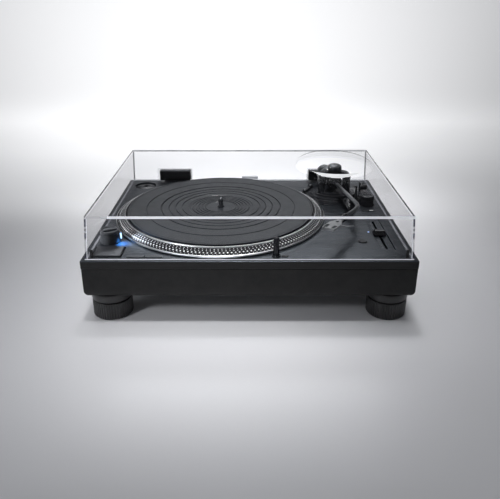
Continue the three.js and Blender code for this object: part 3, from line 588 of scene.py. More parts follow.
def plinth_rows():
    rows, top, bot, rr = [], 83.3, 39.3, 10.0
    hw, y0, y1 = W - R_IN, R_IN, 347.7 - R_IN
    for k in range(11):
        a = math.pi / 2 * k / 10
        o = rr * (1 - math.sin(a))
        rows.append((-hw + o, hw - o, y0 + o, y1 - o, max(2.0 - o * 0.3, 0.6), bot + rr * (1 - math.cos(a))))
    rows.append((-hw, hw, y0, y1, 2.0, top - 0.5))
    rows.append((-hw + 0.35, hw - 0.35, y0 + 0.35, y1 - 0.35, 1.7, top))
    return rows


def boolean(target, cutters, keep=False):
    for c in cutters:
        b = target.modifiers.new("cut", "BOOLEAN")
        b.operation = "DIFFERENCE"
        b.solver = "EXACT"
        b.object = c
    dg = bpy.context.evaluated_depsgraph_get()
    me = bpy.data.meshes.new_from_object(target.evaluated_get(dg), depsgraph=dg)
    target.modifiers.clear()
    old = target.data
    target.data = me
    bpy.data.meshes.remove(old)
    for c in cutters:
        bpy.data.objects.remove(c)


def cutter(data):
    v, f = data
    me = bpy.data.meshes.new("cutter")
    me.from_pydata([tuple(p) for p in v], [], f)
    bm = bmesh.new()
    bm.from_mesh(me)
    bmesh.ops.recalc_face_normals(bm, faces=bm.faces)
    bm.to_mesh(me)
    bm.free()
    o = bpy.data.objects.new("cutter", me)
    bpy.context.scene.collection.objects.link(o)
    return o


def hole(x0, x1, y0, y1, z0, z1, r):
    return cutter(loft_rect([(x0, x1, y0, y1, r, z0), (x0, x1, y0, y1, r, z1)], 6))


def bore(cx, cy, z0, z1, r, segs=48):
    v, f, _ = lathe_data([(0, z0), (r, z0), (r, z1), (0, z1)], segs, upright(cx, cy))
    return cutter((v, f))


def solid(name, data, mat):
    v, f = data
    me = bpy.data.meshes.new(name)
    me.from_pydata([tuple(p) for p in v], [], f)
    bm = bmesh.new()
    bm.from_mesh(me)
    bmesh.ops.recalc_face_normals(bm, faces=bm.faces)
    bm.to_mesh(me)
    bm.free()
    me.materials.append(M[mat].m)
    o = bpy.data.objects.new(name, me)
    bpy.context.scene.collection.objects.link(o)
    return o


def settle(o, body, node, sharp=30):
    o.data.shade_smooth()
    o.data.set_sharp_from_angle(angle=math.radians(sharp))
    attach(o, body)
    if node:
        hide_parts(*([node] if isinstance(node, str) else node))


plinth = solid("plinth_shell", loft_rect(plinth_rows(), 10), "plinth")
bpy.context.view_layer.update()
boolean(plinth, [
    hole(-W + 8.1, W - 8.1, 8.1, 347.7 - 8.1, 46.3, 90, 4),
    hole(-150, 150, 70, 278, 30, 50, 5),
    hole(-156, 156, 64, 284, 30, 42.5, 6),
    hole(-196, -84, 334, 352, 49.5, 70.5, 0.4),
    hole(96, 150, 334, 352, 48, 72, 0.4),
])
settle(plinth, "chassis", "plinth_base")

deck_rows = [(-W + 0.4, W - 0.4, 0.4, 347.3, 1.6, 83.6), (-W, W, 0, 347.7, 2.0, 84.0)]
for k in range(7):
    a = math.pi / 2 * k / 6
    o_ = 1.1 * (1 - math.cos(a))
    deck_rows.append((-W + o_, W - o_, o_, 347.7 - o_, 2.0 - o_ * 0.8, DECK - 1.1 + 1.1 * math.sin(a)))
deck = solid("deck_plate", loft_rect(deck_rows, 10), "deck")
bpy.context.view_layer.update()
boolean(deck, [
    bore(*PLAT, 88.4, 110, 88, 96),
    bore(*ADAPTER, 88.4, 110, 19.3, 64),
    hole(-215.3, -173.2, 12.2, 46.4, 80, 110, 1.8),
    hole(-167.1, -117.4, 11.0, 18.3, 80, 110, 1.0),
    bore(*TOWER, 80, 110, 5.4, 32),
    bore(*LAMP, 80, 110, 4.9, 40),
    hole(43.1, 52.7, 13.0, 18.4, 80, 110, 2.2),
    hole(181.9, 203.7, 36.0, 158.6, 80, 110, 1.5),
    bore(162.3, 64.4, 80, 110, 6.8, 48),
    hole(184.3, 205.2, 183.2, 187.6, 80, 110, 1.2),
    bore(177.5, 98.5, 80, 110, 1.6, 20),
    bore(PIVOT[0], PIVOT[1], 80, 110, 25, 64),
])
deck.data.materials.append(M["deck_band"].m)
for pf_ in deck.data.polygons:
    c_ = pf_.center
    if abs(pf_.normal.z) < 0.35 and (abs(c_.x) > 0.2250 or c_.y < (0.6 - MID) / 1000 or c_.y > (347.2 - MID) / 1000):
        pf_.material_index = len(deck.data.materials) - 1
settle(deck, "chassis", "deck")
# well walls and collars below and on the deck, one piece with it on the real plate
lathe("motor_well", [(88.2, 92), (92, 92), (92, 73), (13.4, 73), (13.4, 76), (88.2, 76), (88.2, 92)], 72, PLAT, "black_matt", "chassis", sharp=40)
lathe("adapter_well", [(0, 80.4), (21.8, 80.4), (21.8, 90.6), (19.4, 90.6), (19.4, 82.4), (0, 82.4)], 56, ADAPTER, "deck", "chassis", sharp=40)
lathe("adapter_rim", [(19.4, 94.6), (20.6, 94.6), (21.4, 94.95), (20.2, 95.15), (19.4, 94.95), (19.4, 94.6)], 72, ADAPTER, "knob", "chassis", sharp=60)
lathe("lamp_collar", [(4.9, 90), (6.3, 90), (6.3, 95.6), (6.1, 96.1), (5.7, 96.4), (5.1, 96.4), (4.9, 96.2), (4.9, 90)], 48, LAMP, "black_metal", "chassis", sharp=50)

# ---------------------------------------------------------------- feet
RIBS = 48


def rib(i):
    return (0.0, 0.0, 0.85, 0.85)[i % 4]


def half_rib(i):
    return (0.0, 0.0, 0.4, 0.4)[i % 4]


for side, (fx, fy) in FEET.items():
    lathe("foot_ribbed_" + side, [
        (0, 1.0), (20.0, 1.0), (20.6, 0.0), (26.2, 0.0), (26.7, 0.2), (27.0, 0.7), (27.6, 1.2, half_rib), (27.9, 1.9, rib), (27.9, 23.6, rib), (27.6, 24.2, half_rib),
        (27.2, 24.6), (26.7, 24.9), (23.6, 24.9), (23.6, 27.6), (27.7, 27.6), (28.1, 27.9), (28.2, 28.4), (28.2, 37.8), (28.0, 38.6), (27.4, 39.0),
        (4.0, 39.0), (4.0, 51.0), (0, 51.0)], RIBS * 4, (fx, fy), ["foot", "rubber"], "foot_" + side, "foot_" + side, "foot_rubber", sharp=35,
        bands=[1, 1, 1, 1] + [0] * 18)

# ---------------------------------------------------------------- platter, dots, mat, spindle
lathe("platter_rim", [
    (4.3, 97.2), (20, 97.2), (20, 99), (150, 99), (158, 96), (164.9, 96), (165.45, 96.2), (165.6, 96.6), (165.6, 98.1), (165.45, 98.45), (165.0, 98.75), (164.3, 98.98),
    (163.9, 98.8), (152.7, 104.95), (152.2, 104.9), (151.9, 105.6), (151.5, 106.3), (150.8, 106.5), (149.2, 106.5), (148.5, 106.3), (148.2, 105.8), (148.2, 104.6), (4.3, 104.6), (4.3, 97.2)],
    240, PLAT, ["rim", "ring"], "platter_rotor", "platter", "platter_alu", sharp=40,
    bands=[0, 0, 0, 0, 1, 1, 1, 1, 1, 1, 1, 0, 0, 0, 1, 1, 1, 0, 0, 0, 0, 0, 0])


def dots():
    verts, faces = [], []
    per = 184
    slope = math.atan2(104.95 - 98.75, 163.6 - 152.7)
    nr, nz = math.sin(slope), math.cos(slope)
    for row, (t, rad, lift) in enumerate(((0.14, 0.70, 0.38), (0.37, 0.74, 0.40), (0.64, 1.26, 0.56), (0.88, 0.60, 0.32))):
        r = 152.7 + (163.6 - 152.7) * t
        z = 104.95 - (104.95 - 98.75) * t
        for k in range(per):
            a = 2 * math.pi * (k + (0.62, 0.65, 0.0, 0.35)[row]) / per
            ca, sa = math.cos(a), math.sin(a)
            out, tan = Vector((ca, sa, 0)), Vector((-sa, ca, 0))
            n = (out * nr + Vector((0, 0, nz))).normalized()
            along = tan.cross(n)
            c = at(PLAT[0] + r * ca, PLAT[1] + r * sa, z)
            base = len(verts)
            segs = 8
            for q, (rr, h) in enumerate(((1.0, -0.15), (0.8, 0.62), (0.42, 0.93))):
                for s in range(segs):
                    b = 2 * math.pi * s / segs
                    verts.append(c + (tan * math.cos(b) + along * math.sin(b)) * (rad * rr / 1000) + n * (lift * h / 1000))
            verts.append(c + n * (lift / 1000))
            for q in range(2):
                for s in range(segs):
                    s2 = (s + 1) % segs
                    faces.append((base + q * segs + s, base + q * segs + s2, base + (q + 1) * segs + s2, base + (q + 1) * segs + s))
            for s in range(segs):
                faces.append((base + 2 * segs + s, base + 2 * segs + (s + 1) % segs, base + 3 * segs))
            faces.append(tuple(base + s for s in reversed(range(segs))))
    return verts, faces


dv, df = dots()
make("strobe_dots", dv, df, "dot", "platter_rotor", None, "platter_alu", sharp=180)


def mat_profile():
    top = 108.1
    pts = [(4.1, 104.9), (147.2, 104.9), (147.2, 107.5), (147.0, 107.9), (146.6, top), (144.4, top), (144.0, 107.75), (143.4, 107.75), (143.0, top)]

    def groove(r, w=0.7, d=0.7):
        pts.extend([(r + w, top), (r + w * 0.55, top - d), (r - w * 0.55, top - d), (r - w, top)])

    for r, w, d in ((118.0, 0.95, 1.1), (95.0, 1.3, 1.5), (82.5, 1.0, 1.2), (72.0, 1.0, 1.2), (62.0, 0.95, 1.1)):
        groove(r, w, d)
    pts.extend([(51.6, top), (50.6, 107.6)])
    top = 107.6
    for r in (46.5, 41.2, 35.9, 30.6, 25.9):
        groove(r, 1.0, 1.1)
    pts.extend([(23.6, top), (22.8, 107.2), (6.2, 107.2), (4.4, 107.0), (4.1, 106.6), (4.1, 104.9)])
    return pts


lathe("grooved_mat", mat_profile(), 200, PLAT, "mat", "platter_rotor", "platter_mat", "mat_rubber", sharp=25)
lathe("spindle_post", [
    (0, 51), (4.6, 51), (4.7, 51.4), (4.7, 94.5), (12, 94.5), (12, 96.9), (4.0, 96.9), (4.0, 104), (3.6, 104.8), (3.6, 117.6), (3.5, 118.6), (3.3, 119.8), (2.9, 121.0),
    (2.3, 121.8), (1.5, 122.3), (0.7, 122.55), (0, 122.6)], 40, PLAT, "turned_dark", "platter_rotor", "spindle", "chromed", sharp=40)
lathe("mat_centre_bush", [(3.9, 107.0), (5.6, 107.0), (5.5, 107.5), (5.0, 107.7), (3.9, 107.6), (3.9, 107.0)], 40, PLAT, "black_metal", "platter_rotor", sharp=60)

# ---------------------------------------------------------------- strobe tower and power knob
lathe("tower_shell", [
    (3.2, 81), (5.0, 81), (5.0, 95.2), (14.5, 95.2), (14.6, 95.6), (14.6, 96.6), (14.4, 98.0), (13.7, 107.8), (13.5, 108.7), (13.1, 109.0), (3.2, 109.0), (3.2, 81)],
    72, TOWER, "tower", "chassis", "strobe_tower", "black_plastic", sharp=35)
lathe("power_knob_cap", [
    (0, 78.2), (2.6, 78.2), (2.8, 78.5), (2.8, 109.4), (13.1, 109.4), (13.6, 109.7), (13.7, 110.2), (13.6, 112.6), (13.4, 113.2), (12.9, 113.6), (12.2, 113.5), (11.7, 113.1),
    (10.7, 112.0), (8.0, 111.4), (0, 111.2)], 72, TOWER, "cap", "power_knob", "power_knob", "black_plastic", sharp=35)


def grip_bar():
    v, f = loft_rect([(-11.4, 11.4, -2.2, 2.2, 2.0, 110.9), (-11.2, 11.2, -1.9, 1.9, 1.8, 112.8), (-10.8, 10.8, -1.4, 1.4, 1.3, 113.4)], 6)
    c = at(*TOWER, 0)
    rot = Matrix.Rotation(0.5, 3, "Z")
    base = at(0, 0, 0)
    return [c + rot @ (p - Vector((base.x, base.y, 0))) - Vector((0, 0, c.z)) for p in v], f


gv, gf = grip_bar()
make("power_knob_grip", gv, gf, "knob", "power_knob", None, "black_plastic", sharp=40)
rot = Matrix.Rotation(0.35, 3, "Z")


def turned_block(x0, x1, y0, y1, z0, z1, r, angle, centre, soft=0.3):
    v, f = loft_rect(cushioned(x0, x1, y0, y1, z0, z1, r, soft, 3, True), 4)
    c = at(*centre, 0)
    b = at(0, 0, 0)
    m = Matrix.Rotation(angle, 3, "Z")
    out = []
    for p in v:
        q = m @ Vector((p.x - b.x, p.y - b.y, 0))
        out.append(Vector((q.x + c.x, q.y + c.y, p.z)))
    return out, f


wv, wf = turned_block(12.2, 15.6, -3.6, 3.6, 98.2, 107.4, 0.4, 0.35, TOWER)
make("strobe_lens", wv, wf, "window", "chassis", "strobe_window", "lit_lens", sharp=60)
wv, wf = merged(turned_block(11.6, 15.1, 3.7, 4.7, 97.8, 108.2, 0.3, 0.35, TOWER, 0.2), turned_block(11.6, 15.4, -4.5, 4.7, 107.5, 108.5, 0.3, 0.35, TOWER, 0.2))
make("strobe_lens_frame", wv, wf, "black", "chassis", None, "black_plastic", sharp=50)

# ---------------------------------------------------------------- buttons
block("start_stop_key", -213.3, -175.3, 14.2, 44.4, 86, DECK + 2.0, 1.6, 0.9, "button", "start_stop_button", "start_stop_button", "deck_metal", steps=4)
for n, x0, x1 in (("33", -166.7, -142.8), ("45", -141.7, -117.8)):
    block("speed_key_" + n, x0, x1, 11.4, 17.9, 85.5, DECK + 1.1, 0.8, 0.5, "button", "speed_button_" + n, "speed_button_" + n, "deck_metal", steps=3)
block("lamp_key", 43.6, 52.2, 13.5, 17.9, 85.5, DECK + 1.0, 2.0, 0.5, "black", "lamp_button", "lamp_button", "black_plastic", steps=4)
block("range_key", 184.8, 204.7, 183.7, 187.1, 85.5, DECK + 0.9, 1.4, 0.4, "black", "pitch_range_button", "pitch_range_button", "black_plastic", steps=3)
block("range_key_mark", 196.0, 202.6, 184.5, 186.4, DECK + 0.85, DECK + 1.02, 0.9, 0.08, "dot", "pitch_range_button", None, "black_plastic", steps=2)
lathe("reset_key", [(0, 84.2), (3, 84.2), (3, 87), (6.2, 87), (6.4, 87.4), (6.4, 95.6), (6.2, 96.2), (5.6, 96.5), (4.6, 96.4), (3.0, 96.15), (0, 96.0)], 56, (162.3, 64.4),
      "black", "reset_button", "reset_button", "black_plastic", sharp=50)
lathe("reset_surround", [(6.9, 94.3), (8.3, 94.3), (8.5, 94.7), (8.2, 95.05), (7.2, 95.15), (6.9, 95.0), (6.9, 94.3)], 56, (162.3, 64.4), "cap", "chassis", sharp=60)
lathe("lamp_post", [(0, 86), (4.2, 86), (4.35, 86.2), (4.35, 119.2), (4.25, 120.3), (3.9, 121.3), (3.2, 122.2), (2.2, 122.7), (1.1, 122.95), (0, 123.0)], 48, LAMP,
      ["black_metal", "steel"], "stylus_lamp", "stylus_lamp", "black_metal", sharp=40)
lathe("adapter_disc", [
    (3.65, 82.7), (17.9, 82.7), (18.6, 83.1), (18.9, 83.8), (18.9, 91.4), (18.7, 92.1), (18.0, 92.7), (17.0, 93.1), (9.6, 94.3), (8.2, 94.6), (6.4, 94.5), (5.2, 94.0), (4.2, 93.0),
    (3.65, 92.0), (3.65, 82.7)], 72, ADAPTER, "black_metal", "adapter_45", "adapter_45", "black_metal", sharp=40)

# ---------------------------------------------------------------- pitch control
panel = solid("pitch_plate", loft_rect([(182.5, 202.4, 36.4, 158.2, 1.2, 91.4), (182.5, 202.4, 36.4, 158.2, 1.2, 94.4), (182.7, 202.2, 36.6, 158.0, 1.1, 94.6)], 5), "deck")
bpy.context.view_layer.update()
boolean(panel, [hole(189.9, 193.7, 39.5, 140, 85, 99, 1.7), hole(184.9, 185.5, 41, 138, 94.2, 99, 0.25)])
settle(panel, "chassis", "pitch_panel")
v1 = loft_rect([(182.9, 200.7, 82.4, 97.2, 1.2, 95.3), (182.9, 200.7, 82.4, 97.2, 1.4, 97.4), (183.7, 199.9, 84.0, 95.6, 1.4, 98.6), (184.1, 199.5, 85.2, 94.4, 1.2, 100.8), (184.6, 199.0, 85.8, 93.8, 1.0, 101.6)], 5)
v2 = loft_rect([(185.6, 198.0, 84.4, 85.0, 0.25, 98.2), (185.6, 198.0, 84.4, 85.0, 0.25, 101.8)], 3)
v3 = loft_rect([(190.4, 193.2, 86.8, 92.8, 0.5, 84), (190.4, 193.2, 86.8, 92.8, 0.5, 95.6)], 3)
v4 = loft_rect([(185.8, 197.8, 85.3, 94.3, 0.5, 83), (185.8, 197.8, 85.3, 94.3, 0.5, 90.2)], 3)
make("fader_knob", *merged(v1, v3, v4), "fader", "pitch_slider", "pitch_slider", "black_plastic", sharp=40)
block("fader_knob_line", 185.0, 198.6, 89.4, 90.2, 101.5, 101.95, 0.3, 0.08, "print", "pitch_slider", None, "black_plastic", steps=2)
lathe("pitch_led", [(0, 86), (1.3, 86), (1.3, 95.0), (1.1, 95.4), (0.6, 95.6), (0, 95.65)], 20, (177.5, 98.5), "led", "chassis", "pitch_lamp", "lit_lens", sharp=50)


def scale_marks():
    parts = []
    for k in range(17):
        y = 45.8 + k * 5.5
        long = k % 4 == 0
        parts.append(loft_rect([(186.2, 186.2 + (2.6 if long else 1.4), y - 0.14, y + 0.14, 0.1, 94.55), (186.2, 186.2 + (2.6 if long else 1.4), y - 0.14, y + 0.14, 0.1, 94.68)], 1))
    return merged(*parts)


make("pitch_scale", *scale_marks(), "print", "chassis", None, "deck_metal", sharp=40)

# ---------------------------------------------------------------- tonearm base
AX, AY, AZ = PIVOT
AC = (AX, AY)
lathe("arm_base_plate", [
    (16, 70), (22.2, 70), (22.2, 95.2), (54.2, 95.2), (55, 95.3), (55, 95.6), (54.4, 95.7), (46.0, 95.7), (45.4, 96.3), (45.2, 96.8), (44.6, 96.9), (42.4, 96.9), (41.8, 96.8), (41.6, 96.4),
    (22.2, 96.4), (22.2, 103.2), (16, 103.2), (16, 70)], 144, AC, "black_metal", "chassis", None, "black_metal", sharp=40)
v, f, _ = lathe_data([(0, 95.2), (12.2, 95.2), (12.2, 96.4), (11.9, 96.9), (11.4, 97.4), (11.3, 98.0), (11.3, 103.2), (11.0, 103.6), (0, 103.6)], 72, upright(AX + 49.8, AY - 48))
lobe = [(34, -34), (44, -26), (58, -42), (44, -56)]
lv = [at(AX + a, AY + b, 95.2) for a, b in lobe] + [at(AX + a, AY + b, 95.7) for a, b in lobe]
lf = [(3, 2, 1, 0), (4, 5, 6, 7), (0, 1, 5, 4), (1, 2, 6, 5), (2, 3, 7, 6), (3, 0, 4, 7)]
make("antiskate_housing", *merged((v, f), (lv, lf)), "black_metal", "chassis", "arm_base", "black_metal", sharp=40)

TEETH = 96


def tooth(i):
    return (0.0, 0.0, 0.9, 0.9)[i % 4]


lathe("height_ring_grip", [
    (22.7, 96.8), (40.2, 96.8), (40.6, 97.0), (40.6, 97.6), (40.2, 97.9), (39.8, 98.0, tooth), (39.8, 99.6, tooth), (39.2, 100.0), (37.4, 100.0), (37.0, 99.7), (34.2, 99.7), (33.8, 100.0),
    (28.6, 100.0), (28.2, 100.4), (28.2, 103.2), (27.9, 103.5), (22.7, 103.5), (22.7, 96.8)], TEETH * 4, AC, "black_metal", "height_ring", "height_ring", "black_metal", sharp=35)


def lock_lever():
    c, s = math.cos(-0.47), math.sin(-0.47)

    def put_(v):
        o = at(0, 0, 0)
        q = at(AX - 48.2, AY + 14, 0)
        return [Vector(((p.x - o.x) * c - (p.y - o.y) * s + q.x, (p.x - o.x) * s + (p.y - o.y) * c + q.y, p.z)) for p in v]

    a = loft_rect(cushioned(-2.8, 2.8, 0, 26, 97.2, 99.4, 2, 0.6, 3, True), 5)
    b = loft_rect(cushioned(-4.0, 4.0, 22, 32, 97.2, 101.6, 3, 1.0, 4, True), 6)
    h = lathe_data([(0, 96.1), (4.1, 96.1), (4.2, 96.3), (4.2, 99.2), (3.9, 99.9), (3.3, 100.4), (0, 100.4)], 40, upright(AX - 48.2, AY + 14))
    return merged((put_(a[0]), a[1]), (put_(b[0]), b[1]), h[:2])


make("lock_lever", *lock_lever(), "black_metal", "height_lock_lever", "height_lock_lever", "black_metal", sharp=40)


# pillar: flange and stem, two curved shells, arch with a domed cap, shelf and rest bracket
def arc_shell(r0, r1, z0, z1, a0, a1, steps=28, soft=0.8):
    """Curved wall with softened top edges, azimuths from -Y towards -X in degrees."""
    verts, faces = [], []
    prof = [(r0, z0), (r1, z0), (r1, z1 - soft), (r1 - soft * 0.3, z1 - soft * 0.3), (r1 - soft, z1), (r0 + soft, z1), (r0 + soft * 0.3, z1 - soft * 0.3), (r0, z1 - soft)]
    n = len(prof)
    for i in range(steps + 1):
        a = math.radians(a0 + (a1 - a0) * i / steps)
        for r, z in prof:
            verts.append(at(AX - r * math.sin(a), AY - r * math.cos(a), z))
    for i in range(steps):
        for k in range(n):
            j = (k + 1) % n
            faces.append((i * n + k, i * n + j, (i + 1) * n + j, (i + 1) * n + k))
    faces.append(tuple(reversed(range(n))))
    faces.append(tuple(range(steps * n, (steps + 1) * n)))
    return verts, faces


def arch():
    """Bridge over the gimbal, drawn in X-Z and given a rounded section along Y."""
    outer, inner = [], []
    for k in range(33):
        a = math.pi * k / 32
        e = 0.6
        c, s = math.cos(a), math.sin(a)
        ox = 27.6 * math.copysign(abs(c) ** e, c)
        oz = 129.6 + 9.8 * abs(s) ** 0.7
        ix = 23.6 * math.copysign(abs(c) ** e, c)
        iz = 129.0 + 6.0 * abs(s) ** 0.7
        outer.append((ox, oz))
        inner.append((ix, iz))
    outer = [(27.6, 106.0)] + outer + [(-27.6, 106.0)]
    inner = [(23.6, 106.0)] + inner + [(-23.6, 106.0)]
    verts, faces = [], []
    n = len(outer)
    sect = ((0.0, -6.6), (0.22, -7.5), (0.78, -7.5), (1.0, -6.6), (1.0, 6.6), (0.78, 7.5), (0.22, 7.5), (0.0, 6.6))
    for (ox, oz), (ix, iz) in zip(outer, inner):
        for t, y in sect:
            verts.append(at(AX + ix + (ox - ix) * t, AY + y, iz + (oz - iz) * t))
    m = len(sect)
    for i in range(n - 1):
        for k in range(m):
            j = (k + 1) % m
            faces.append((i * m + k, i * m + j, (i + 1) * m + j, (i + 1) * m + k))
    faces.append(tuple(reversed(range(m))))
    faces.append(tuple(range((n - 1) * m, n * m)))
    return verts, faces


stem = lathe_data([(2.9, 101), (2.9, 74), (15.2, 74), (15.4, 74.3), (15.4, 103.8), (27.7, 103.8), (28.2, 104.3), (28.2, 105.4), (27.8, 106.0), (2.9, 106.0), (2.9, 101)], 96, upright(*AC))[:2]
make("arm_pillar_body", *merged(stem, arc_shell(23.6, 27.6, 105.6, 133, 48, 130), arc_shell(23.6, 27.6, 105.6, 133, 228, 310), arch()), "black_metal", "arm_pillar", "arm_pillar", "black_metal", sharp=38)
lathe("pivot_cap", [(3.0, 138.2), (11.9, 138.2), (12.2, 138.6), (12.2, 145.4), (12.05, 146.9), (11.6, 148.2), (10.8, 149.4), (9.6, 150.3), (8.0, 151.0), (6.0, 151.4), (3.0, 151.58), (3.0, 138.2)], 72, AC,
      "knob", "arm_pillar", sharp=45)
lathe("pivot_cap_screw", [(0, 149.2), (2.6, 149.2), (2.6, 151.3), (2.3, 151.5), (0, 151.5)], 32, AC, "black_metal", "arm_pillar", sharp=45)
shelf = solid("arm_shelf", loft_rect(cushioned(AX + 22, AX + 57, AY - 34, AY + 6, 103.8, 106.4, 3, 0.6, 4, True), 6), "black_metal")
bpy.context.view_layer.update()
boolean(shelf, [bore(AX + 33.7, AY - 28.3, 100, 112, 2.5, 32)])
settle(shelf, "arm_pillar", None, 38)
block("lever_block", AX + 43.6, AX + 46.4, AY - 9.4, AY - 0.6, 106, 119.4, 1.2, 0.8, "black_metal", "arm_pillar", steps=4)
bp = [(4, -22), (16, -22), (22.4, -88), (22.4, -101), (10.4, -101), (9.6, -90)]
bv = [at(AX + a, AY + b, 103.8) for a, b in bp] + [at(AX + a, AY + b, 106.0) for a, b in bp] + [at(AX + a * 0.97 + 0.4, AY + b * 0.99 - 0.3, 106.4) for a, b in bp]
nb = len(bp)
bf = [tuple(reversed(range(nb))), tuple(range(2 * nb, 3 * nb))] + [(k * nb + i, k * nb + (i + 1) % nb, (k + 1) * nb + (i + 1) % nb, (k + 1) * nb + i) for k in range(2) for i in range(nb)]
make("rest_bracket", bv, bf, "black_metal", "arm_pillar", None, "black_metal", sharp=38)
r0 = loft_rect(cushioned(AX + 10.6, AX + 22.2, AY - 100, AY - 92, 106.7, 108.2, 1.5, 0.4, 3, True), 4)
r1 = loft_rect([(AX + 12.6, AX + 22.2, AY - 99, AY - 93, 1.2, 108), (AX + 13.4, AX + 22.0, AY - 98.4, AY - 93.6, 1.2, 112), (AX + 12.6, AX + 22.2, AY - 99, AY - 93, 1.2, 116.8)], 4)
r2 = loft_rect(cushioned(AX + 10.6, AX + 22.4, AY - 100, AY - 92, 116.6, 119.1, 1.4, 0.5, 3, True), 4)
r3 = loft_rect(cushioned(AX + 19.6, AX + 22.4, AY - 100, AY - 92, 117.2, 130.4, 1.2, 0.7, 4, True), 4)
make("rest_cradle", *merged(r0, r1, r2, r3), "black", "arm_pillar", "arm_rest", "black_plastic", sharp=40)


def clip():
    c = at(AX + 20.9, AY - 96, 132.2)
    a = tube_data([c + Vector((0, -0.004, 0)), c + Vector((0, -0.0036, 0)), c + Vector((0, 0.0036, 0)), c + Vector((0, 0.004, 0))], lambda t: 1.5 if 0.1 < t < 0.9 else 1.2, 24)
    x, y, z = AX + 20.9, AY - 96, 132.2
    b = loft_rect(cushioned(x - 1.1, x + 1.1, y - 3.0, y + 3.0, z + 0.6, z + 12.2, 0.7, 0.4, 3, True), 4)
    d = loft_rect(cushioned(x - 4.2, x + 1.1, y - 3.0, y + 3.0, z + 10.6, z + 12.2, 0.7, 0.4, 3, True), 4)
    return merged(a, b, d)


make("rest_clip", *clip(), "black", "arm_clip", "arm_clip", "black_plastic", sharp=40)


def flute(i):
    return (0.0, 0.35, 0.9, 0.9, 0.35, 0.0)[i % 6]


lathe("antiskate_knob", [
    (0, 104), (11.0, 104), (11.4, 104.3, flute), (11.4, 110.2, flute), (11.1, 111.0, flute), (10.4, 111.5), (9.8, 111.6), (7.4, 111.6), (7.0, 111.3), (6.7, 110.9), (0, 110.8)], 6 * 24, (197, 214),
    "tower", "antiskate_dial", "antiskate_dial", "black_plastic", sharp=40)


def dial_ticks(cx, cy, r0_, r1_, z, count, body, name, skip=0):
    parts = []
    for k in range(count):
        if skip and k % skip == 0:
            rr = r0_ - 0.9
        else:
            rr = r0_
        a = 2 * math.pi * k / count
        ca, sa = math.cos(a), math.sin(a)
        w = 0.16
        q = [(rr, -w), (r1_, -w), (r1_, w), (rr, w)]
        lo = [at(cx + u * ca - t * sa, cy + u * sa + t * ca, z - 0.1) for u, t in q]
        hi = [at(cx + u * ca - t * sa, cy + u * sa + t * ca, z + 0.08) for u, t in q]
        parts.append((lo + hi, [(3, 2, 1, 0), (4, 5, 6, 7), (0, 1, 5, 4), (1, 2, 6, 5), (2, 3, 7, 6), (3, 0, 4, 7)]))
    make(name, *merged(*parts), "print", body, None, "black_plastic", sharp=40)


dial_ticks(197, 214, 8.2, 9.6, 111.62, 14, "antiskate_dial", "antiskate_ticks", 2)

lx, ly, lz = AX + 48, AY - 5, 115.2
ca_ = tube_data([at(lx - 1.2, ly, lz), at(lx - 0.9, ly, lz), at(lx + 3.1, ly, lz), at(lx + 3.4, ly, lz)], lambda t: 3.4 if 0.1 < t < 0.9 else 3.1, 36)
cb_ = tube_data(smooth_path([at(lx + 1.3, ly + 1.0, lz - 0.2), at(lx + 1.3, ly - 8, lz + 1.2), at(lx + 1.3, ly - 16, lz + 2.6), at(lx + 1.0, ly - 20, lz + 3.2)], 6), 1.45, 20)
cc_ = tube_data([at(lx - 6.0, ly - 20.4, lz + 3.2), at(lx - 5.4, ly - 20.4, lz + 3.2), at(lx - 4.6, ly - 20.4, lz + 3.2), at(lx + 3.6, ly - 20.4, lz + 3.2), at(lx + 4.4, ly - 20.4, lz + 3.2), at(lx + 5.0, ly - 20.4, lz + 3.2)],
                 lambda t: (3.4, 4.1, 4.4, 4.4, 4.1, 3.4)[min(5, int(round(t * 5)))], 36)
make("cue_lever_arm", *merged(ca_, cb_, cc_), "black", "cue_lever", "cue_lever", "black_plastic", sharp=50)

lp = []
steps = 32
sec = [(42.6, 107.0), (46.2, 107.0), (46.2, 108.6), (45.8, 109.2), (43.0, 109.2), (42.6, 108.6)]
pv, pf = [], []
for i in range(steps + 1):
    a = math.radians(-52 + 100 * i / steps)
    for r, z in sec:
        pv.append(at(AX - r * math.sin(a), AY - r * math.cos(a), z))
for i in range(steps):
    for k in range(6):
        j = (k + 1) % 6
        pf.append((i * 6 + k, i * 6 + j, (i + 1) * 6 + j, (i + 1) * 6 + k))
pf += [tuple(reversed(range(6))), tuple(range(steps * 6, steps * 6 + 6))]
rodv = lathe_data([(0, 97), (2.1, 97), (2.1, 108), (0, 108)], 28, upright(AX + 33.7, AY - 28.3))[:2]
armv = loft_rect(cushioned(AX + 31.8, AX + 36.6, AY - 31, AY - 26.6, 106.9, 109.2, 1.0, 0.4, 3, True), 4)
make("lift_bar", *merged((pv, pf), rodv, armv), "black", "lift_platform", "lift_platform", "black_plastic", sharp=40)

# ---------------------------------------------------------------- tonearm
ALONG = Vector((math.sin(ARM_AZ), -math.cos(ARM_AZ), 0))
ACROSS = Vector((math.cos(ARM_AZ), math.sin(ARM_AZ), 0))
FWD = Vector((-math.sin(SHELL_AZ), -math.cos(SHELL_AZ), 0))
RIGHT = Vector((math.cos(SHELL_AZ), -math.sin(SHELL_AZ), 0))
TILTED = Matrix.Rotation(-TILT, 3, ACROSS)
H0 = Vector((-16, -189.3, 0))
P0 = at(*PIVOT)


def arm(v):
    """A point given in mm from the pivot, in the arm's own level frame."""
    return P0 + (TILTED @ v) / 1000


def lathe_on(profile, segs, origin, axis, mods=None):
    """Solid of revolution about an axis in the arm's frame; profile is (r, distance along axis)."""
    a = axis.normalized()
    s = a.cross(Vector((0, 0, 1))).normalized()
    u = s.cross(a)
    return lathe_data(profile, segs, lambda x, y, z: arm(origin + s * x + u * y + a * z))[:2]


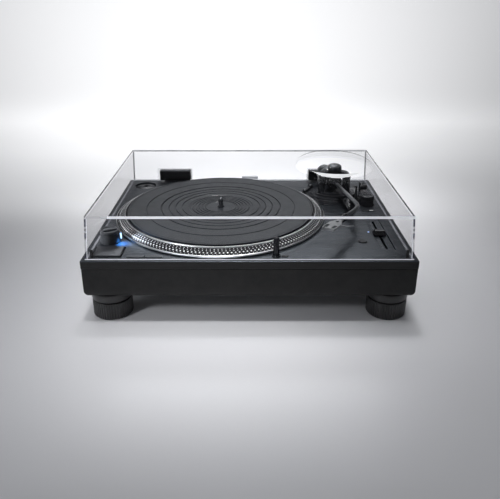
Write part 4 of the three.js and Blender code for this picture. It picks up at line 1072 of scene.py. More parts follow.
path = [ALONG * 8, ALONG * 36, Vector((10, -65.8, 0)), Vector((14, -90, 0)), Vector((17.2, -111.4, 0)), Vector((18.1, -124, 0)), Vector((16.2, -136.5, 0)), Vector((10.5, -149, 0)),
        Vector((3, -161, 0)), H0 + FWD * -21.3, H0 + FWD * -5.5]
tube = tube_data([arm(p) for p in smooth_path(path, 9)], 3.3, 28)
make("arm_tube_s", *tube, "tube", "arm_tube", "arm_tube", "arm_metal", sharp=50)
gb = lathe_on([(0, -12.4), (6.8, -12.4), (7.4, -11.9), (7.6, -11.0), (7.6, 11.0), (7.4, 11.9), (6.8, 12.4), (6.0, 12.6), (5.8, 14.0), (4.8, 18.4), (4.3, 19.0), (0, 19.0)], 56, Vector((0, 0, 0)), ALONG)
st = lathe_on([(0, 11), (4.4, 11), (4.4, 65.2), (4.1, 65.9), (0, 66)], 40, Vector((0, 0, 0)), -ALONG)
pn = lathe_on([(0, -12.4), (1.5, -12.4), (1.8, -12.1), (1.8, 12.1), (1.5, 12.4), (0, 12.4)], 28, Vector((0, 0, 0)), ACROSS)
make("arm_gimbal_block", *merged(gb, st, pn), "black_metal", "arm_tube", None, "black_metal", sharp=45)
make("counterweight_body", *lathe_on([
    (7.8, 34.4), (12.9, 34.4), (13.7, 34.7), (14.3, 35.3), (14.55, 36.1), (14.6, 37.0), (14.6, 42.4), (14.35, 42.8), (13.9, 43.0), (13.9, 44.6), (14.35, 44.8), (14.6, 45.2), (14.6, 61.0),
    (14.45, 62.2), (13.9, 63.2), (13.0, 63.8), (12.0, 64.0), (7.8, 64.0), (7.8, 34.4)], 96, Vector((0, 0, 0)), -ALONG), "knob", "counterweight", "counterweight", "black_metal", sharp=40)


def knurl(i):
    return 0.0 if i % 2 else 0.28


make("force_dial", *lathe_on([(4.9, 30.0), (13.2, 30.0), (13.5, 30.4), (14.0, 33.0, knurl), (14.0, 33.6, knurl), (13.6, 33.9), (4.9, 33.9), (4.9, 30.0)], 120, Vector((0, 0, 0)), -ALONG),
     "black", "stylus_force_dial", "stylus_force_dial", "black_plastic", sharp=40)
# graduation lines round the force dial
parts = []
side0 = (-ALONG).cross(Vector((0, 0, 1))).normalized()
up0 = side0.cross(-ALONG)
for k in range(30):
    a = 2 * math.pi * k / 30
    n_ = side0 * math.cos(a) + up0 * math.sin(a)
    t_ = side0 * -math.sin(a) + up0 * math.cos(a)
    l0, l1 = (30.5, 32.4) if k % 5 == 0 else (30.5, 31.5)
    quad = []
    for d, s_ in ((l0, -0.16), (l1, -0.16), (l1, 0.16), (l0, 0.16)):
        rr = 13.55 + 0.5 * (d - 30.4) / 2.6
        quad.append((d, s_, rr))
    lo = [arm(-ALONG * d + n_ * (rr - 0.1) + t_ * s_) for d, s_, rr in quad]
    hi = [arm(-ALONG * d + n_ * (rr + 0.07) + t_ * s_) for d, s_, rr in quad]
    parts.append((lo + hi, [(3, 2, 1, 0), (4, 5, 6, 7), (0, 1, 5, 4), (1, 2, 6, 5), (2, 3, 7, 6), (3, 0, 4, 7)]))
make("force_dial_marks", *merged(*parts), "print", "stylus_force_dial", None, "black_plastic", sharp=40)

# gimbal ring with its upright pins, level
ga = Vector((math.sin(ARM_AZ), -math.cos(ARM_AZ), 0))
ring_prof = [(10.4, -3.6), (10.8, -4.2), (12.6, -4.2), (13.2, -3.8), (13.4, -3.2), (13.4, 3.2), (13.2, 3.8), (12.6, 4.2), (10.8, 4.2), (10.4, 3.6), (10.4, -3.6)]
sx = ga.cross(Vector((0, 0, 1))).normalized()
ux = sx.cross(ga)
gr = lathe_data(ring_prof, 96, lambda x, y, z: P0 + (sx * x + ux * y + ga * z) / 1000)[:2]
pins = tube_data([P0 + Vector((0, 0, 0.012)), P0 + Vector((0, 0, 0.0274))], 2.4, 28)
pinl = tube_data([P0 + Vector((0, 0, -0.012)), P0 + Vector((0, 0, -0.0186))], 2.4, 28)
make("gimbal_frame", *merged(gr, pins, pinl), "black_metal", "gimbal_ring", "gimbal_ring", "black_metal", sharp=40)
for s_ in (-1, 1):
    make("gimbal_screw_" + ("left" if s_ < 0 else "right"), *lathe_data([(0, 13.2), (2.3, 13.2), (2.3, 14.0), (2.0, 14.3), (0, 14.2)], 28,
         lambda x, y, z, s_=s_: P0 + (ACROSS * (s_ * z) + ga * x + Vector((0, 0, y))) / 1000)[:2], "steel", "gimbal_ring", sharp=45)


def coll(i):
    return 0.0 if i % 2 else 0.3


make("collar_nut", *lathe_on([(3.7, 1.0), (5.0, 1.0), (5.5, 1.4), (5.7, 2.0), (5.7, 3.0), (5.7, 3.6, coll), (5.7, 9.8, coll), (5.7, 10.4), (5.6, 11.6), (5.2, 12.4), (4.9, 13.0), (4.9, 14.8), (4.6, 15.0),
                                          (3.7, 15.0), (3.7, 1.0)], 72, H0, -FWD), "black_metal", "headshell_collar", "headshell_collar", "black_metal", sharp=40)


def shell_pt(a, b, z):
    return arm(H0 + FWD * a + RIGHT * b + Vector((0, 0, z)))


def flat_solid(name, outline, z0, z1, mat, body, node=None, holes=(), soft=0.35):
    """Plate in the headshell's plane with softened edges and slots right through."""
    n = len(outline)
    cx = sum(p[0] for p in outline) / n
    cy = sum(p[1] for p in outline) / n

    def shrunk(k):
        return [(cx + (a - cx) * (1 - k / 20), cy + (b - cy) * (1 - k / 10)) for a, b in outline]

    rows = [(shrunk(soft), z0), (outline, z0 + soft), (outline, z1 - soft), (shrunk(soft), z1)]
    verts, faces = [], []
    for pts, z in rows:
        verts += [shell_pt(a, b, z) for a, b in pts]
    for k in range(len(rows) - 1):
        for i in range(n):
            j = (i + 1) % n
            faces.append((k * n + i, k * n + j, (k + 1) * n + j, (k + 1) * n + i))
    faces.append(tuple(reversed(range(n))))
    faces.append(tuple(range((len(rows) - 1) * n, len(rows) * n)))
    o = solid(name, (verts, faces), mat)
    bpy.context.view_layer.update()
    cutters = []
    for a0, a1, b0, b1 in holes:
        pts = []
        r = min(a1 - a0, b1 - b0) / 2 * 0.98
        for ca, cb, s0 in ((a1 - r, b0 + r, -90), (a1 - r, b1 - r, 0), (a0 + r, b1 - r, 90), (a0 + r, b0 + r, 180)):
            for k in range(5):
                t = math.radians(s0 + 90 * k / 4)
                pts.append((ca + r * math.cos(t), cb + r * math.sin(t)))
        m = len(pts)
        cv = [shell_pt(a, b, -6) for a, b in pts] + [shell_pt(a, b, 6) for a, b in pts]
        cf = [tuple(reversed(range(m))), tuple(range(m, 2 * m))] + [(i, (i + 1) % m, m + (i + 1) % m, m + i) for i in range(m)]
        cutters.append(cutter((cv, cf)))
    if cutters:
        boolean(o, cutters)
    settle(o, body, node, 38)
    return o


outline = [(0.8, -4.0), (6, -4.6), (10, -5.6), (14.5, -7.6), (19, -9.5), (24, -9.9), (39, -9.9), (41.4, -9.5), (43.0, -8.6), (43.6, -7.0), (43.8, -4), (43.8, 4), (43.6, 7.0), (43.0, 8.6), (41.4, 9.5),
           (39, 9.9), (24, 9.9), (19, 9.5), (14.5, 7.6), (10, 5.6), (6, 4.6), (0.8, 4.0)]
flat_solid("headshell_plate", outline, -1.0, 1.0, "shell", "headshell", "headshell", holes=((29.0, 41.2, -8.0, -3.2), (29.0, 41.2, 3.2, 8.0), (10.0, 16.0, -2.4, 2.4)))
plug = lathe_on([(0, -2.4), (2.9, -2.4), (3.3, -2.0), (3.3, 4.2), (2.9, 4.6), (0, 4.6)], 32, H0, -FWD)
nv = [shell_pt(a, b, z) for z in (-2.6, -0.8) for a, b in ((41.0, -9.3), (43.6, -8.0), (43.6, 8.0), (41.0, 9.3))]
nf = [(3, 2, 1, 0), (4, 5, 6, 7), (0, 1, 5, 4), (1, 2, 6, 5), (2, 3, 7, 6), (3, 0, 4, 7)]
make("headshell_socket", *merged(plug, (nv, nf)), "shell", "headshell", None, "shell_silver", sharp=40)
cols = [(0.42, 0.03, 0.03), (0.05, 0.18, 0.40), (0.05, 0.28, 0.10), (0.55, 0.55, 0.54)]
for k, col in enumerate(cols):
    m_ = plastic("lead_%d" % k, tuple(0.8 * c for c in col), col, 0.35, 0.5, grain=1500, bump=0.1)
    b0 = (-1.8, -0.6, 0.6, 1.8)[k]
    pts = smooth_path([shell_pt(1.2, b0 * 0.7, -1.6), shell_pt(6, b0 * 1.0, -2.3), shell_pt(13, b0 * 1.6, -2.5), shell_pt(20, b0 * 2.0, -2.0)], 6)
    make("shell_lead_%d" % k, *tube_data(pts, 0.36, 10), m_.m, "headshell", None, "shell_silver", sharp=60)
lift_pts = smooth_path([shell_pt(24.2, 9.2, 0.2), shell_pt(23.6, 14, 0.2), shell_pt(22.6, 20, 0.5), shell_pt(21.4, 24.5, 1.4), shell_pt(20.2, 28, 2.6)], 8)
make("finger_hook", *merged(tube_data(lift_pts, lambda t: 1.2 - 0.25 * t, 20), tube_data([shell_pt(27.6, 10.9, 0), shell_pt(20.6, 10.9, 0)], 0.7, 14)), "tube", "headshell", "finger_lift", "chromed", sharp=60)

# ---------------------------------------------------------------- dust cover
Z0, Z1, T = 95.3, 155.55, 2.6
HWB, HWT, FB, FT, RB, RT = 220.2, 216.8, 4.4, 10.4, 345.6, 340.6
DX, DY, DR, DH = 141.5, 236.0, 64.0, 17.0
HX = 139.5


def skin(x, y, z, o=0.0):
    """Point on the sloping walls: x and y in -1..1 select the side, o is the way inwards."""
    k = (z - Z0) / (Z1 - Z0)
    hw = HWB + (HWT - HWB) * k - o
    f = FB + (FT - FB) * k + o
    r = RB + (RT - RB) * k - o
    return at(x * hw, f + (r - f) * (y + 1) / 2, z)


def strip_wall(us, zs, place, skip=None):
    verts, faces, cells = [], [], []
    for z in zs:
        for u in us:
            verts.append(place(u, z))
    n = len(us)
    for j in range(len(zs) - 1):
        for i in range(n - 1):
            if skip and skip(i, j):
                continue
            faces.append((j * n + i, j * n + i + 1, (j + 1) * n + i + 1, (j + 1) * n + i))
            cells.append((i, j))
    return verts, faces, cells


class Shell:
    def __init__(self):
        self.v, self.f, self.m = [], [], []

    def add(self, verts, faces, marks):
        o = len(self.v)
        self.v += verts
        self.f += [tuple(i + o for i in q) for q in faces]
        self.m += marks


def rect_ring(o, z, xs, ys):
    return [skin(x, y, z, o) for x, y in ((-1, -1), (1, -1), (1, 1), (-1, 1))]


cover = Shell()
# face marks for the cover: apart from the clear panes these are painted light, painted highlights, painted dark
# reflections and painted glints on the acrylic
CLEAR, SIDE, DOMEM, PAINTED_HIGHLIGHT, PAINTED_SOFT_HIGHLIGHT, PAINTED_DARK_REFLECTION, TOPM, PAINTED_DOTTED_REFLECTION, CORNER_PAINTED_GLINTS, DOME_RIM_PAINTED_HIGHLIGHT, PAINTED_LOW_HIGHLIGHT, PAINTED_FAINT_HIGHLIGHT = range(12)
band = 3.4
col = 2.6


def wall(kind, o, z_lo, z_hi):
    """One wall, outer (o = 0) or inner (o = T), cut into panes and edge bands; the edge bands carry painted highlights
    and painted dark reflections.
    """
    zs = [z_lo, z_lo + 1.2, z_hi - band if o == 0 else z_hi - 0.6, z_hi]
    length = {"front": 2 * HWB, "back": 2 * HWB, "left": RB - FB, "right": RB - FB}[kind]
    e = col / length * 2
    e2 = (col + 0.75) / length * 2
    us = [-1, -1 + e, -1 + e2, -0.90, -0.86, 1 - e2, 1 - e, 1] if kind == "front" and o == 0 else [-1, -1 + e, 1 - e, 1]
    if kind == "back":
        for s in (-1, 1):
            for d in (-29.2, 29.2):
                us.append((s * HX + d) / (HWB - 1.2))
        us = sorted(us)
        zs = [z_lo, z_lo + 1.2, 117.3, z_hi - band if o == 0 else z_hi - 0.6, z_hi]

    def place(u, z):
        if kind == "front":
            return skin(u, -1, z, o)
        if kind == "back":
            return skin(u, 1, z, o)
        return skin(-1 if kind == "left" else 1, u, z, o)

    def skip(i, j):
        if kind != "back":
            return False
        mid = (us[i] + us[i + 1]) / 2 * (HWB - 1.2)
        return j < 2 and abs(abs(mid) - HX) < 29.0

    v, f, cells = strip_wall(us, zs, place, skip)
    marks = []
    last_j, last_i = len(zs) - 2, len(us) - 2
    for i, j in cells:
        if o == 0:
            if j == last_j and kind == "front" and i < 3:
                marks.append(PAINTED_FAINT_HIGHLIGHT)
            elif j == last_j and kind == "front" and i == 3:
                marks.append(PAINTED_SOFT_HIGHLIGHT)
            elif j == last_j:
                marks.append(PAINTED_HIGHLIGHT if kind == "front" else (PAINTED_DARK_REFLECTION if kind != "back" else PAINTED_SOFT_HIGHLIGHT))
            elif j == 0:
                marks.append(PAINTED_HIGHLIGHT if kind == "front" else (PAINTED_LOW_HIGHLIGHT if kind != "back" else PAINTED_SOFT_HIGHLIGHT))
            elif kind == "front" and i in (0, last_i):
                marks.append(CORNER_PAINTED_GLINTS)
            elif kind == "front" and i in (1, last_i - 1):
                marks.append(PAINTED_HIGHLIGHT)
            elif i in (0, last_i):
                marks.append(SIDE if kind != "back" else PAINTED_DARK_REFLECTION)
            else:
                marks.append(CLEAR if kind in ("front", "back") else SIDE)
        elif kind == "right" and j == 0:
            marks.append(PAINTED_DOTTED_REFLECTION)
        else:
            marks.append(CLEAR if kind in ("front", "back") else SIDE)
    cover.add(v, f, marks)


for kind in ("front", "back", "left", "right"):
    wall(kind, 0.0, Z0, Z1)
    wall(kind, T, Z0, Z1 - T)
# bottom rim: a painted highlight along the front, weaker painted highlights on the sides and back
for (ax, ay), (bx, by) in (((-1, -1), (1, -1)), ((1, -1), (1, 1)), ((-1, 1), (-1, -1))):
    cover.add([skin(ax, ay, Z0, 0), skin(bx, by, Z0, 0), skin(bx, by, Z0, T), skin(ax, ay, Z0, T)], [(0, 1, 2, 3)], [PAINTED_HIGHLIGHT if ay == by == -1 else PAINTED_LOW_HIGHLIGHT])
ub = [-1] + sorted((s * HX + d) / (HWB - 1.2) for s in (-1, 1) for d in (-29.2, 29.2)) + [1]
for i in (0, 2, 4):
    cover.add([skin(ub[i], 1, Z0, 0), skin(ub[i + 1], 1, Z0, 0), skin(ub[i + 1], 1, Z0, T), skin(ub[i], 1, Z0, T)], [(0, 1, 2, 3)], [PAINTED_SOFT_HIGHLIGHT])
for i in (1, 3):
    zn = [Z0, Z0 + 1.2, 117.3]
    for u in (ub[i], ub[i + 1]):
        for a, b in zip(zn, zn[1:]):
            cover.add([skin(u, 1, a, 0), skin(u, 1, b, 0), skin(u, 1, b, T), skin(u, 1, a, T)], [(0, 1, 2, 3)], [PAINTED_SOFT_HIGHLIGHT])
    cover.add([skin(ub[i], 1, 117.3, 0), skin(ub[i + 1], 1, 117.3, 0), skin(ub[i + 1], 1, 117.3, T), skin(ub[i], 1, 117.3, T)], [(0, 1, 2, 3)], [PAINTED_SOFT_HIGHLIGHT])


def plate_with_hole(z, o, r, segs, mark):
    """Top sheet: quads between the dome's circle and the rectangle's edge."""
    x0, x1 = skin(-1, -1, z, o).x, skin(1, -1, z, o).x
    y0, y1 = skin(-1, -1, z, o).y, skin(1, 1, z, o).y
    c = at(DX, DY, z)
    angles = [2 * math.pi * i / segs for i in range(segs)]
    for px, py in ((x0, y0), (x1, y0), (x1, y1), (x0, y1)):
        angles.append(math.atan2(py - c.y, px - c.x) % (2 * math.pi))
    angles = sorted(set(round(a, 9) for a in angles))
    verts = []
    for a in angles:
        ca, sa = math.cos(a), math.sin(a)
        verts.append(Vector((c.x + r / 1000 * ca, c.y + r / 1000 * sa, c.z)))
        t = 1e9
        if ca > 1e-12: t = min(t, (x1 - c.x) / ca)
        if ca < -1e-12: t = min(t, (x0 - c.x) / ca)
        if sa > 1e-12: t = min(t, (y1 - c.y) / sa)
        if sa < -1e-12: t = min(t, (y0 - c.y) / sa)
        verts.append(Vector((c.x + t * ca, c.y + t * sa, c.z)))
    n = len(angles)
    faces = [(2 * i, 2 * i + 1, 2 * ((i + 1) % n) + 1, 2 * ((i + 1) % n)) for i in range(n)]
    cover.add(verts, faces, [mark] * n)
    return angles


angs = plate_with_hole(Z1, 0.0, DR, 96, TOPM)
plate_with_hole(Z1 - T, T, DR - T, 96, TOPM)


def dome(profile, mark, low_mark):
    c = at(DX, DY, 0)
    verts, faces, marks = [], [], []
    n = len(angs)
    for r, z in profile[:-1]:
        for a in angs:
            verts.append(Vector((c.x + r / 1000 * math.cos(a), c.y + r / 1000 * math.sin(a), z / 1000)))
    for k in range(len(profile) - 2):
        for i in range(n):
            j = (i + 1) % n
            faces.append((k * n + i, k * n + j, (k + 1) * n + j, (k + 1) * n + i))
            off = math.degrees((angs[i] - math.radians(270 - 7) + math.pi) % (2 * math.pi) - math.pi)
            up = (profile[k][1] + profile[k + 1][1]) / 2 - Z1
            if low_mark == mark:
                marks.append(mark)
            # painted highlight: a white crescent low on the dome's front; on the back half, a painted dark reflection
            # band
            elif 4.2 * (off / 31) ** 2 < up < 6.0:
                marks.append(DOME_RIM_PAINTED_HIGHLIGHT)
            elif math.sin(angs[i]) > -0.02 and abs(up - 5.6 - 5.6 * max(0.0, math.sin(angs[i]))) < 0.5:
                marks.append(PAINTED_DARK_REFLECTION)
            else:
                marks.append(mark)
    top = len(verts)
    verts.append(Vector((c.x, c.y, profile[-1][1] / 1000)))
    k = len(profile) - 2
    for i in range(n):
        faces.append((k * n + i, k * n + (i + 1) % n, top))
        marks.append(mark)
    cover.add(verts, faces, marks)


DOME_MID = []
for k in range(14):
    h_ = 5.4 + 0.5 * k
    DOME_MID.append((62.5 - 0.3 * (h_ - 5.4) if h_ < 7.4 else (61.9 - 0.5357 * (h_ - 7.4) if h_ < 10.2 else 60.4 - 0.857 * (h_ - 10.2)), Z1 + h_))
dome([(DR, Z1), (63.75, Z1 + 0.5), (63.6, Z1 + 1.1), (63.4, Z1 + 2.2), (63.1, Z1 + 3.3), (62.8, Z1 + 4.4), *DOME_MID, (58.6, Z1 + 12.3), (56.2, Z1 + 13.9), (53.2, Z1 + 15.0), (49.6, Z1 + 15.7),
      (40, Z1 + 16.3), (26, Z1 + 16.75), (12, Z1 + 16.95), (0, Z1 + 17.0)], DOMEM, PAINTED_SOFT_HIGHLIGHT)
dome([(DR - T, Z1 - T), (61.3, Z1 - 1.0), (61.1, Z1 + 1.4), (60.3, Z1 + 4.2), (59.4, Z1 + 6.8), (58.0, Z1 + 9.0), (56.4, Z1 + 10.6), (54.2, Z1 + 11.9), (51.4, Z1 + 12.7), (48.4, Z1 + 13.2),
      (40, Z1 + 13.7), (26, Z1 + 14.15), (12, Z1 + 14.35), (0, Z1 + 14.4)], DOMEM, DOMEM)
# face directions are recalculated when the mesh is made: outside faces out, inside faces in
make("cover_sheet", cover.v, cover.f, ["clear", "clear_side", "clear_dome", "edge_bright", "edge_soft", "edge_dark", "clear_top", "edge_hatch", "corner", "dome_bright", "edge_low", "edge_faint"], "dust_cover", "dust_cover", "clear_acrylic", sharp=30, face_mats=cover.m)


def pocket(s, name):
    """Small clear housing over one hinge leaf, open below and behind."""
    x0, x1, xi0, xi1 = s * HX - 32.2, s * HX + 32.2, s * HX - 29.2, s * HX + 29.2
    y0, yi0, y1 = 329.5, 332.4, 342.6
    z0, z1, zi1 = Z0 + 0.1, 120.3, 117.4
    v = [at(x0, y0, z0), at(x1, y0, z0), at(x1, y1, z0), at(x0, y1, z0), at(x0, y0, z1), at(x1, y0, z1), at(x1, y1 - 1.2, z1), at(x0, y1 - 1.2, z1),
         at(xi0, yi0, z0), at(xi1, yi0, z0), at(xi1, y1, z0), at(xi0, y1, z0), at(xi0, yi0, zi1), at(xi1, yi0, zi1), at(xi1, y1 - 1.0, zi1), at(xi0, y1 - 1.0, zi1)]
    f = [(0, 1, 5, 4), (1, 2, 6, 5), (3, 0, 4, 7), (4, 5, 6, 7), (9, 8, 12, 13), (10, 9, 13, 14), (8, 11, 15, 12), (13, 12, 15, 14),
         (0, 8, 9, 1), (1, 9, 10, 2), (3, 11, 8, 0), (2, 10, 14, 6), (6, 14, 15, 7), (7, 15, 11, 3)]
    marks = [0, 0, 0, 0, 0, 0, 0, 0, 1, 1, 1, 1, 1, 1]
    make(name, v, f, ["clear_top", "clear_side"], "dust_cover", None, "clear_acrylic", face_mats=marks, sharp=20)


pocket(-1, "hinge_pocket_left")
pocket(1, "hinge_pocket_right")
for s, n in ((-1, "left"), (1, "right")):
    block("corner_pad_" + n, s * 213.1 - 1.9, s * 213.1 + 1.9, 11.4, 13.8, DECK + 0.3, 106.2, 0.9, 0.7, "rubber", "dust_cover", "cushion_front_" + n, "foot_rubber", steps=4)
# the rear pad is drawn in the glowing edge material, a painted highlight
block("rear_pad", 0.8 - 15, 0.8 + 15, 335.6, 339.8, 99.8, 105.6, 1.9, 1.2, "edge_soft", "dust_cover", "cushion_rear", "foot_rubber", steps=5, under=True)

# ---------------------------------------------------------------- hinges
HY, HZ = 345.5, 100.6
for s, n in ((-1, "left"), (1, "right")):
    x = s * HX

    def barrel(x0, x1, r):
        return tube_data([at(x0, HY, HZ), at(x0 + 0.3, HY, HZ), at(x1 - 0.3, HY, HZ), at(x1, HY, HZ)], lambda t, r=r: r if 0.05 < t < 0.95 else r - 0.3, 40)

    top = loft_rect(cushioned(x - 28.6, x + 28.6, 333.1, 346.2, 109.6, 116.7, 1.2, 0.9, 5, True), 5)
    cl = loft_rect(cushioned(x - 28.6, x - 20, 334, 346.0, 98.4, 110.4, 1.0, 0.4, 3, True), 4)
    cr = loft_rect(cushioned(x + 20, x + 28.6, 334, 346.0, 98.4, 110.4, 1.0, 0.4, 3, True), 4)
    sk = loft_rect(cushioned(x - 20.6, x + 20.6, 333.1, 336.4, 101.8, 110.6, 0.8, 0.4, 3, True), 4)
    make("hinge_plate_" + n, *merged(top, cl, cr, sk, barrel(x - 28.6, x - 20, 3.6), barrel(x + 20, x + 28.6, 3.6)), "black", "dust_cover", "hinge_leaf_" + n, "black_plastic", sharp=40)
    # a thin strip along each hinge plate in the glowing edge material, a painted highlight line
    make("hinge_plate_painted_highlight_" + n, *loft_rect([(x - 27.2, x + 27.2, 333.6, 334.4, 0.3, 115.9), (x - 27.2, x + 27.2, 333.8, 334.6, 0.3, 116.8)], 2), "edge_soft", "dust_cover", None, "black_plastic", sharp=40)
    base = loft_rect(cushioned(x - 23.1, x + 23.1, 348.1, 352.0, 73, 97.4, 1.4, 0.8, 4, True), 5)
    neck = loft_rect([(x - 19.4, x + 19.4, 344.5, 352.0, 1.0, 96.4), (x - 19.4, x + 19.4, 344.5, 352.0, 1.0, 99.6), (x - 19.4, x + 19.4, 344.5, 350.6, 1.0, 100.6)], 4)
    make("hinge_base_" + n, *merged(base, neck, barrel(x - 19.4, x + 19.4, 4.2)), "black_metal", "chassis", "hinge_bracket_" + n, "black_metal", sharp=40)
    for q in (-1, 1):
        for zz in (79.5, 91.0):
            make("hinge_screw_%s_%d_%d" % (n, q + 1, int(zz)), *lathe_data([(0, 351.6), (2.6, 351.6), (2.6, 351.85), (2.2, 352.0), (0, 352.0)], 28,
                 lambda a, b, c, q=q, zz=zz, x=x: at(x + q * 16 + a, c, zz + b))[:2], "steel", "chassis", None, "bright_steel", sharp=40)

# ---------------------------------------------------------------- CAD nodes that stay
for node, mat_, bev in (
    ("bottom_cover", "sheet", 0.3), ("main_board", "board", 0.0), ("power_supply", "board", 0.0), ("motor_stator", "copper", 0.3), ("motor_bearing", "brass", 0.3),
    ("motor_magnet_ring", "ferrite", 0.3), ("jack_panel", "sheet", 0.25), ("phono_jack_left", "brass", 0.2), ("phono_jack_right", "brass", 0.2), ("power_inlet", "black_matt", 0.4),
    ("ground_terminal", "steel", 0.25), ("hinge_pin_left", "steel", 0.2), ("hinge_pin_right", "steel", 0.2)):
    dress(node, mat_, bev)
for o in NODES.values():
    if not o.hide_render:
        o.data.shade_smooth()
        o.data.set_sharp_from_angle(angle=math.radians(32))

# ---------------------------------------------------------------- stage: floor that sweeps up to a bright wall


def stage_mat():
    """Pale paper sweep; the paper behind the object carries painted light, an emission brightest a little left of the
    middle that stands in for light from behind.
    """
    m = Mat("studio_paper", rough=0.25, spec=0.5)
    n = m.noise(3.0, detail=4)
    m.color(m.ramp(n, [(0.2, (0.70, 0.70, 0.725)), (0.8, (0.72, 0.72, 0.745))]))
    m.rough(m.span(m.noise(6, detail=3), 0.20, 0.26))
    sep = m.add("ShaderNodeSeparateXYZ")
    m.link(m.tc.outputs["Object"], sep.inputs[0])
    x, y, z = sep.outputs
    run = m.math("ADD", y, z)
    reach = m.add("ShaderNodeMapRange")
    reach.inputs["From Min"].default_value = -0.4
    reach.inputs["From Max"].default_value = 4.6
    m.link(run, reach.inputs["Value"])
    r = m.add("ShaderNodeValToRGB")
    r.color_ramp.interpolation = "B_SPLINE"
    stops = [(0.02, 0.0), (0.10, 0.05), (0.18, 0.20), (0.26, 0.52), (0.34, 0.62), (0.50, 0.66), (0.70, 0.79), (1.15, 0.98), (2.42, 1.0), (2.60, 0.5), (2.85, 0.05), (4.3, 0.0)]
    e = r.color_ramp.elements
    while len(e) < len(stops):
        e.new(0.5)
    for el, (pos, v) in zip(e, stops):
        el.position = (pos + 0.4) / 5.0
        el.color = (v, v, v, 1)
    m.link(reach.outputs[0], r.inputs["Fac"])
    depth = m.math("ADD", y, 0.842)
    off = m.math("DIVIDE", m.math("ADD", x, m.math("MULTIPLY", depth, 0.07)), m.math("MAXIMUM", m.math("SUBTRACT", m.math("MULTIPLY", depth, 0.67), 0.26), 0.05))
    fall = m.math("POWER", 2.718, m.math("MULTIPLY", m.math("MULTIPLY", off, off), -1.0))
    m.p.inputs["Emission Color"].default_value = (0.985, 0.99, 1.0, 1)
    m.link(m.math("MULTIPLY", m.math("MULTIPLY", r.outputs["Color"], fall), 0.97), m.p.inputs["Emission Strength"])
    # above the picture the sweep ends in a dark drape
    high = m.add("ShaderNodeMapRange")
    high.inputs["From Min"].default_value = 2.45
    high.inputs["From Max"].default_value = 2.95
    m.link(run, high.inputs["Value"])
    drape = m.add("ShaderNodeMix", data_type="RGBA")
    m.link(high.outputs[0], drape.inputs[0])
    m.link(m.ramp(n, [(0.2, (0.70, 0.70, 0.725)), (0.8, (0.72, 0.72, 0.745))]), drape.inputs[6])
    drape.inputs[7].default_value = (0.05, 0.05, 0.055, 1)
    m.color(drape.outputs[2])
    return m


floor_mat = stage_mat().m
fv, ff = [], []
xs = [-6 + 12 * i / 24 for i in range(25)]
prof = [(-6.0, 0.0), (-3.0, 0.0), (-1.0, 0.0), (0.6, 0.0), (1.1, 0.0)] + [(1.1 + 1.2 * math.sin(a), 1.2 - 1.2 * math.cos(a)) for a in [math.pi / 2 * k / 16 for k in range(1, 17)]] + [(2.3, 3.5)]
for y, z in prof:
    for x in xs:
        fv.append(Vector((x, y, z - 0.0001)))
for j in range(len(prof) - 1):
    for i in range(24):
        ff.append((j * 25 + i, j * 25 + i + 1, (j + 1) * 25 + i + 1, (j + 1) * 25 + i))
me = bpy.data.meshes.new("floor_sweep")
me.from_pydata([tuple(p) for p in fv], [], ff)
me.materials.append(floor_mat)
me.shade_smooth()
sweep = bpy.data.objects.new("floor_sweep", me)
bpy.context.scene.collection.objects.link(sweep)
sweep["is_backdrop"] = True


def area(name, loc, target, size, power, colour=(1, 1, 1), size_y=None, spread=180):
    l = bpy.data.lights.new(name, "AREA")
    l.energy = power
    l.color = colour
    l.shape = "RECTANGLE" if size_y else "DISK"
    l.size = size
    if size_y:
        l.size_y = size_y
    l.spread = math.radians(spread)
    o = bpy.data.objects.new(name, l)
    o.location = loc
    o.rotation_mode = "QUATERNION"
    o.rotation_quaternion = (Vector(target) - Vector(loc)).to_track_quat("-Z", "Y")
    bpy.context.scene.collection.objects.link(o)
    return o


area("top_soft", (-0.1, 0.25, 1.9), (0.0, 0.0, 0.0), 1.5, 6.0, (0.98, 0.99, 1.0), size_y=1.1)
area("back_card", (-0.05, 1.45, 1.20), (-0.02, -0.10, 0.1), 1.4, 1.1, (0.97, 0.99, 1.0), size_y=0.55, spread=70)
area("front_left", (-1.35, -1.25, 1.15), (-0.19, -0.176, 0.06), 0.5, 0.21, (0.97, 0.98, 1.0), spread=14)
area("left_card", (-1.1, -0.10, 0.62), (-0.19, -0.11, 0.1), 0.5, 0.14, (0.95, 0.98, 1.0), size_y=0.3, spread=50)
pool = bpy.data.lights.new("front_pool", "SPOT")
pool.energy = 73
pool.spot_size = math.radians(17)
pool.spot_blend = 1.0
pool.shadow_soft_size = 0.12
po = bpy.data.objects.new("front_pool", pool)
po.location = (-0.05, -0.31, 1.90)
po.rotation_mode = "QUATERNION"
po.rotation_quaternion = (Vector((-0.047, -0.215, 0.0)) - Vector((-0.05, -0.31, 1.90))).to_track_quat("-Z", "Y")
bpy.context.scene.collection.objects.link(po)
halo = bpy.data.lights.new("rear_pool", "SPOT")
halo.energy = 150
halo.spot_size = math.radians(27.5)
halo.spot_blend = 1.0
halo.shadow_soft_size = 0.2
ho = bpy.data.objects.new("rear_pool", halo)
ho.location = (0.05, 0.60, 1.90)
ho.rotation_mode = "QUATERNION"
ho.rotation_quaternion = (Vector((0.055, 0.18, 0.0)) - Vector((0.05, 0.60, 1.90))).to_track_quat("-Z", "Y")
bpy.context.scene.collection.objects.link(ho)
side = bpy.data.lights.new("right_floor", "SPOT")
side.energy = 10
side.spot_size = math.radians(26)
side.spot_blend = 1.0
side.shadow_soft_size = 0.12
so = bpy.data.objects.new("right_floor", side)
so.location = (0.30, -0.38, 1.5)
so.rotation_mode = "QUATERNION"
so.rotation_quaternion = (Vector((0.29, -0.37, 0.0)) - Vector((0.30, -0.38, 1.5))).to_track_quat("-Z", "Y")
bpy.context.scene.collection.objects.link(so)
glow = bpy.data.lights.new("strobe_glow", "SPOT")
glow.energy = 0.55
glow.color = (0.06, 0.34, 1.0)
glow.spot_size = math.radians(88)
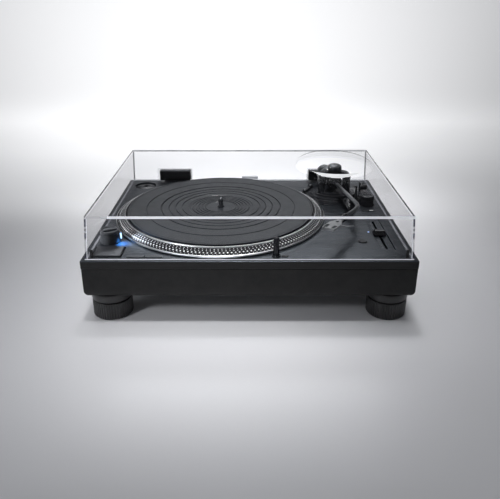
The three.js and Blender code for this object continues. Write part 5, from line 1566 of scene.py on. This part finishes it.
glow.spot_blend = 0.9
glow.shadow_soft_size = 0.002
go = bpy.data.objects.new("strobe_glow", glow)
go.location = at(-184.0, 57.5, 108.0)
go.visible_glossy = False
go.rotation_mode = "QUATERNION"
go.rotation_quaternion = Vector((0.27, -0.08, -1.0)).to_track_quat("-Z", "Y")
bpy.context.scene.collection.objects.link(go)

beam = bpy.data.lights.new("strobe_beam", "SPOT")
beam.energy = 0.32
beam.color = (0.72, 0.86, 1.0)
beam.spot_size = math.radians(105)
beam.spot_blend = 0.9
beam.shadow_soft_size = 0.002
bo = bpy.data.objects.new("strobe_beam", beam)
bo.location = at(-182.0, 57.5, 112.0)
bo.visible_glossy = False
bo.rotation_mode = "QUATERNION"
bo.rotation_quaternion = Vector((0.93, -0.12, -0.30)).to_track_quat("-Z", "Y")
bpy.context.scene.collection.objects.link(bo)

kick = bpy.data.lights.new("tower_kick", "SPOT")
kick.energy = 105
kick.spot_size = math.radians(6.5)
kick.spot_blend = 1.0
kick.shadow_soft_size = 0.02
ko = bpy.data.objects.new("tower_kick", kick)
ko.location = (-0.82, -0.24, 0.34)
ko.visible_glossy = False
ko.rotation_mode = "QUATERNION"
ko.rotation_quaternion = (at(TOWER[0] - 4, TOWER[1], 103) - Vector((-0.82, -0.24, 0.34))).to_track_quat("-Z", "Y")
bpy.context.scene.collection.objects.link(ko)

world = bpy.data.worlds.new("studio")
world.use_nodes = True
wt = world.node_tree
for n in list(wt.nodes):
    wt.nodes.remove(n)
wo = wt.nodes.new("ShaderNodeOutputWorld")
wb = wt.nodes.new("ShaderNodeBackground")
wb.inputs["Color"].default_value = (0.80, 0.82, 0.86, 1)
wb.inputs["Strength"].default_value = 0.18
wt.links.new(wb.outputs[0], wo.inputs["Surface"])
bpy.context.scene.world = world

cam = bpy.data.cameras.new("camera")
cam.sensor_width = 36
cam.lens = 40.20
cam.shift_x = 0.0009
cam.shift_y = -0.0659
cam.clip_start, cam.clip_end = 0.01, 100
co = bpy.data.objects.new("camera", cam)
co.location = (0, -0.84214, 0.42879)
co.rotation_euler = (math.radians(68), 0, 0)
bpy.context.scene.collection.objects.link(co)
bpy.context.scene.camera = co
bpy.context.scene.view_settings.view_transform = "Standard"
bpy.context.scene.view_settings.look = "None"

lo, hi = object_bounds()
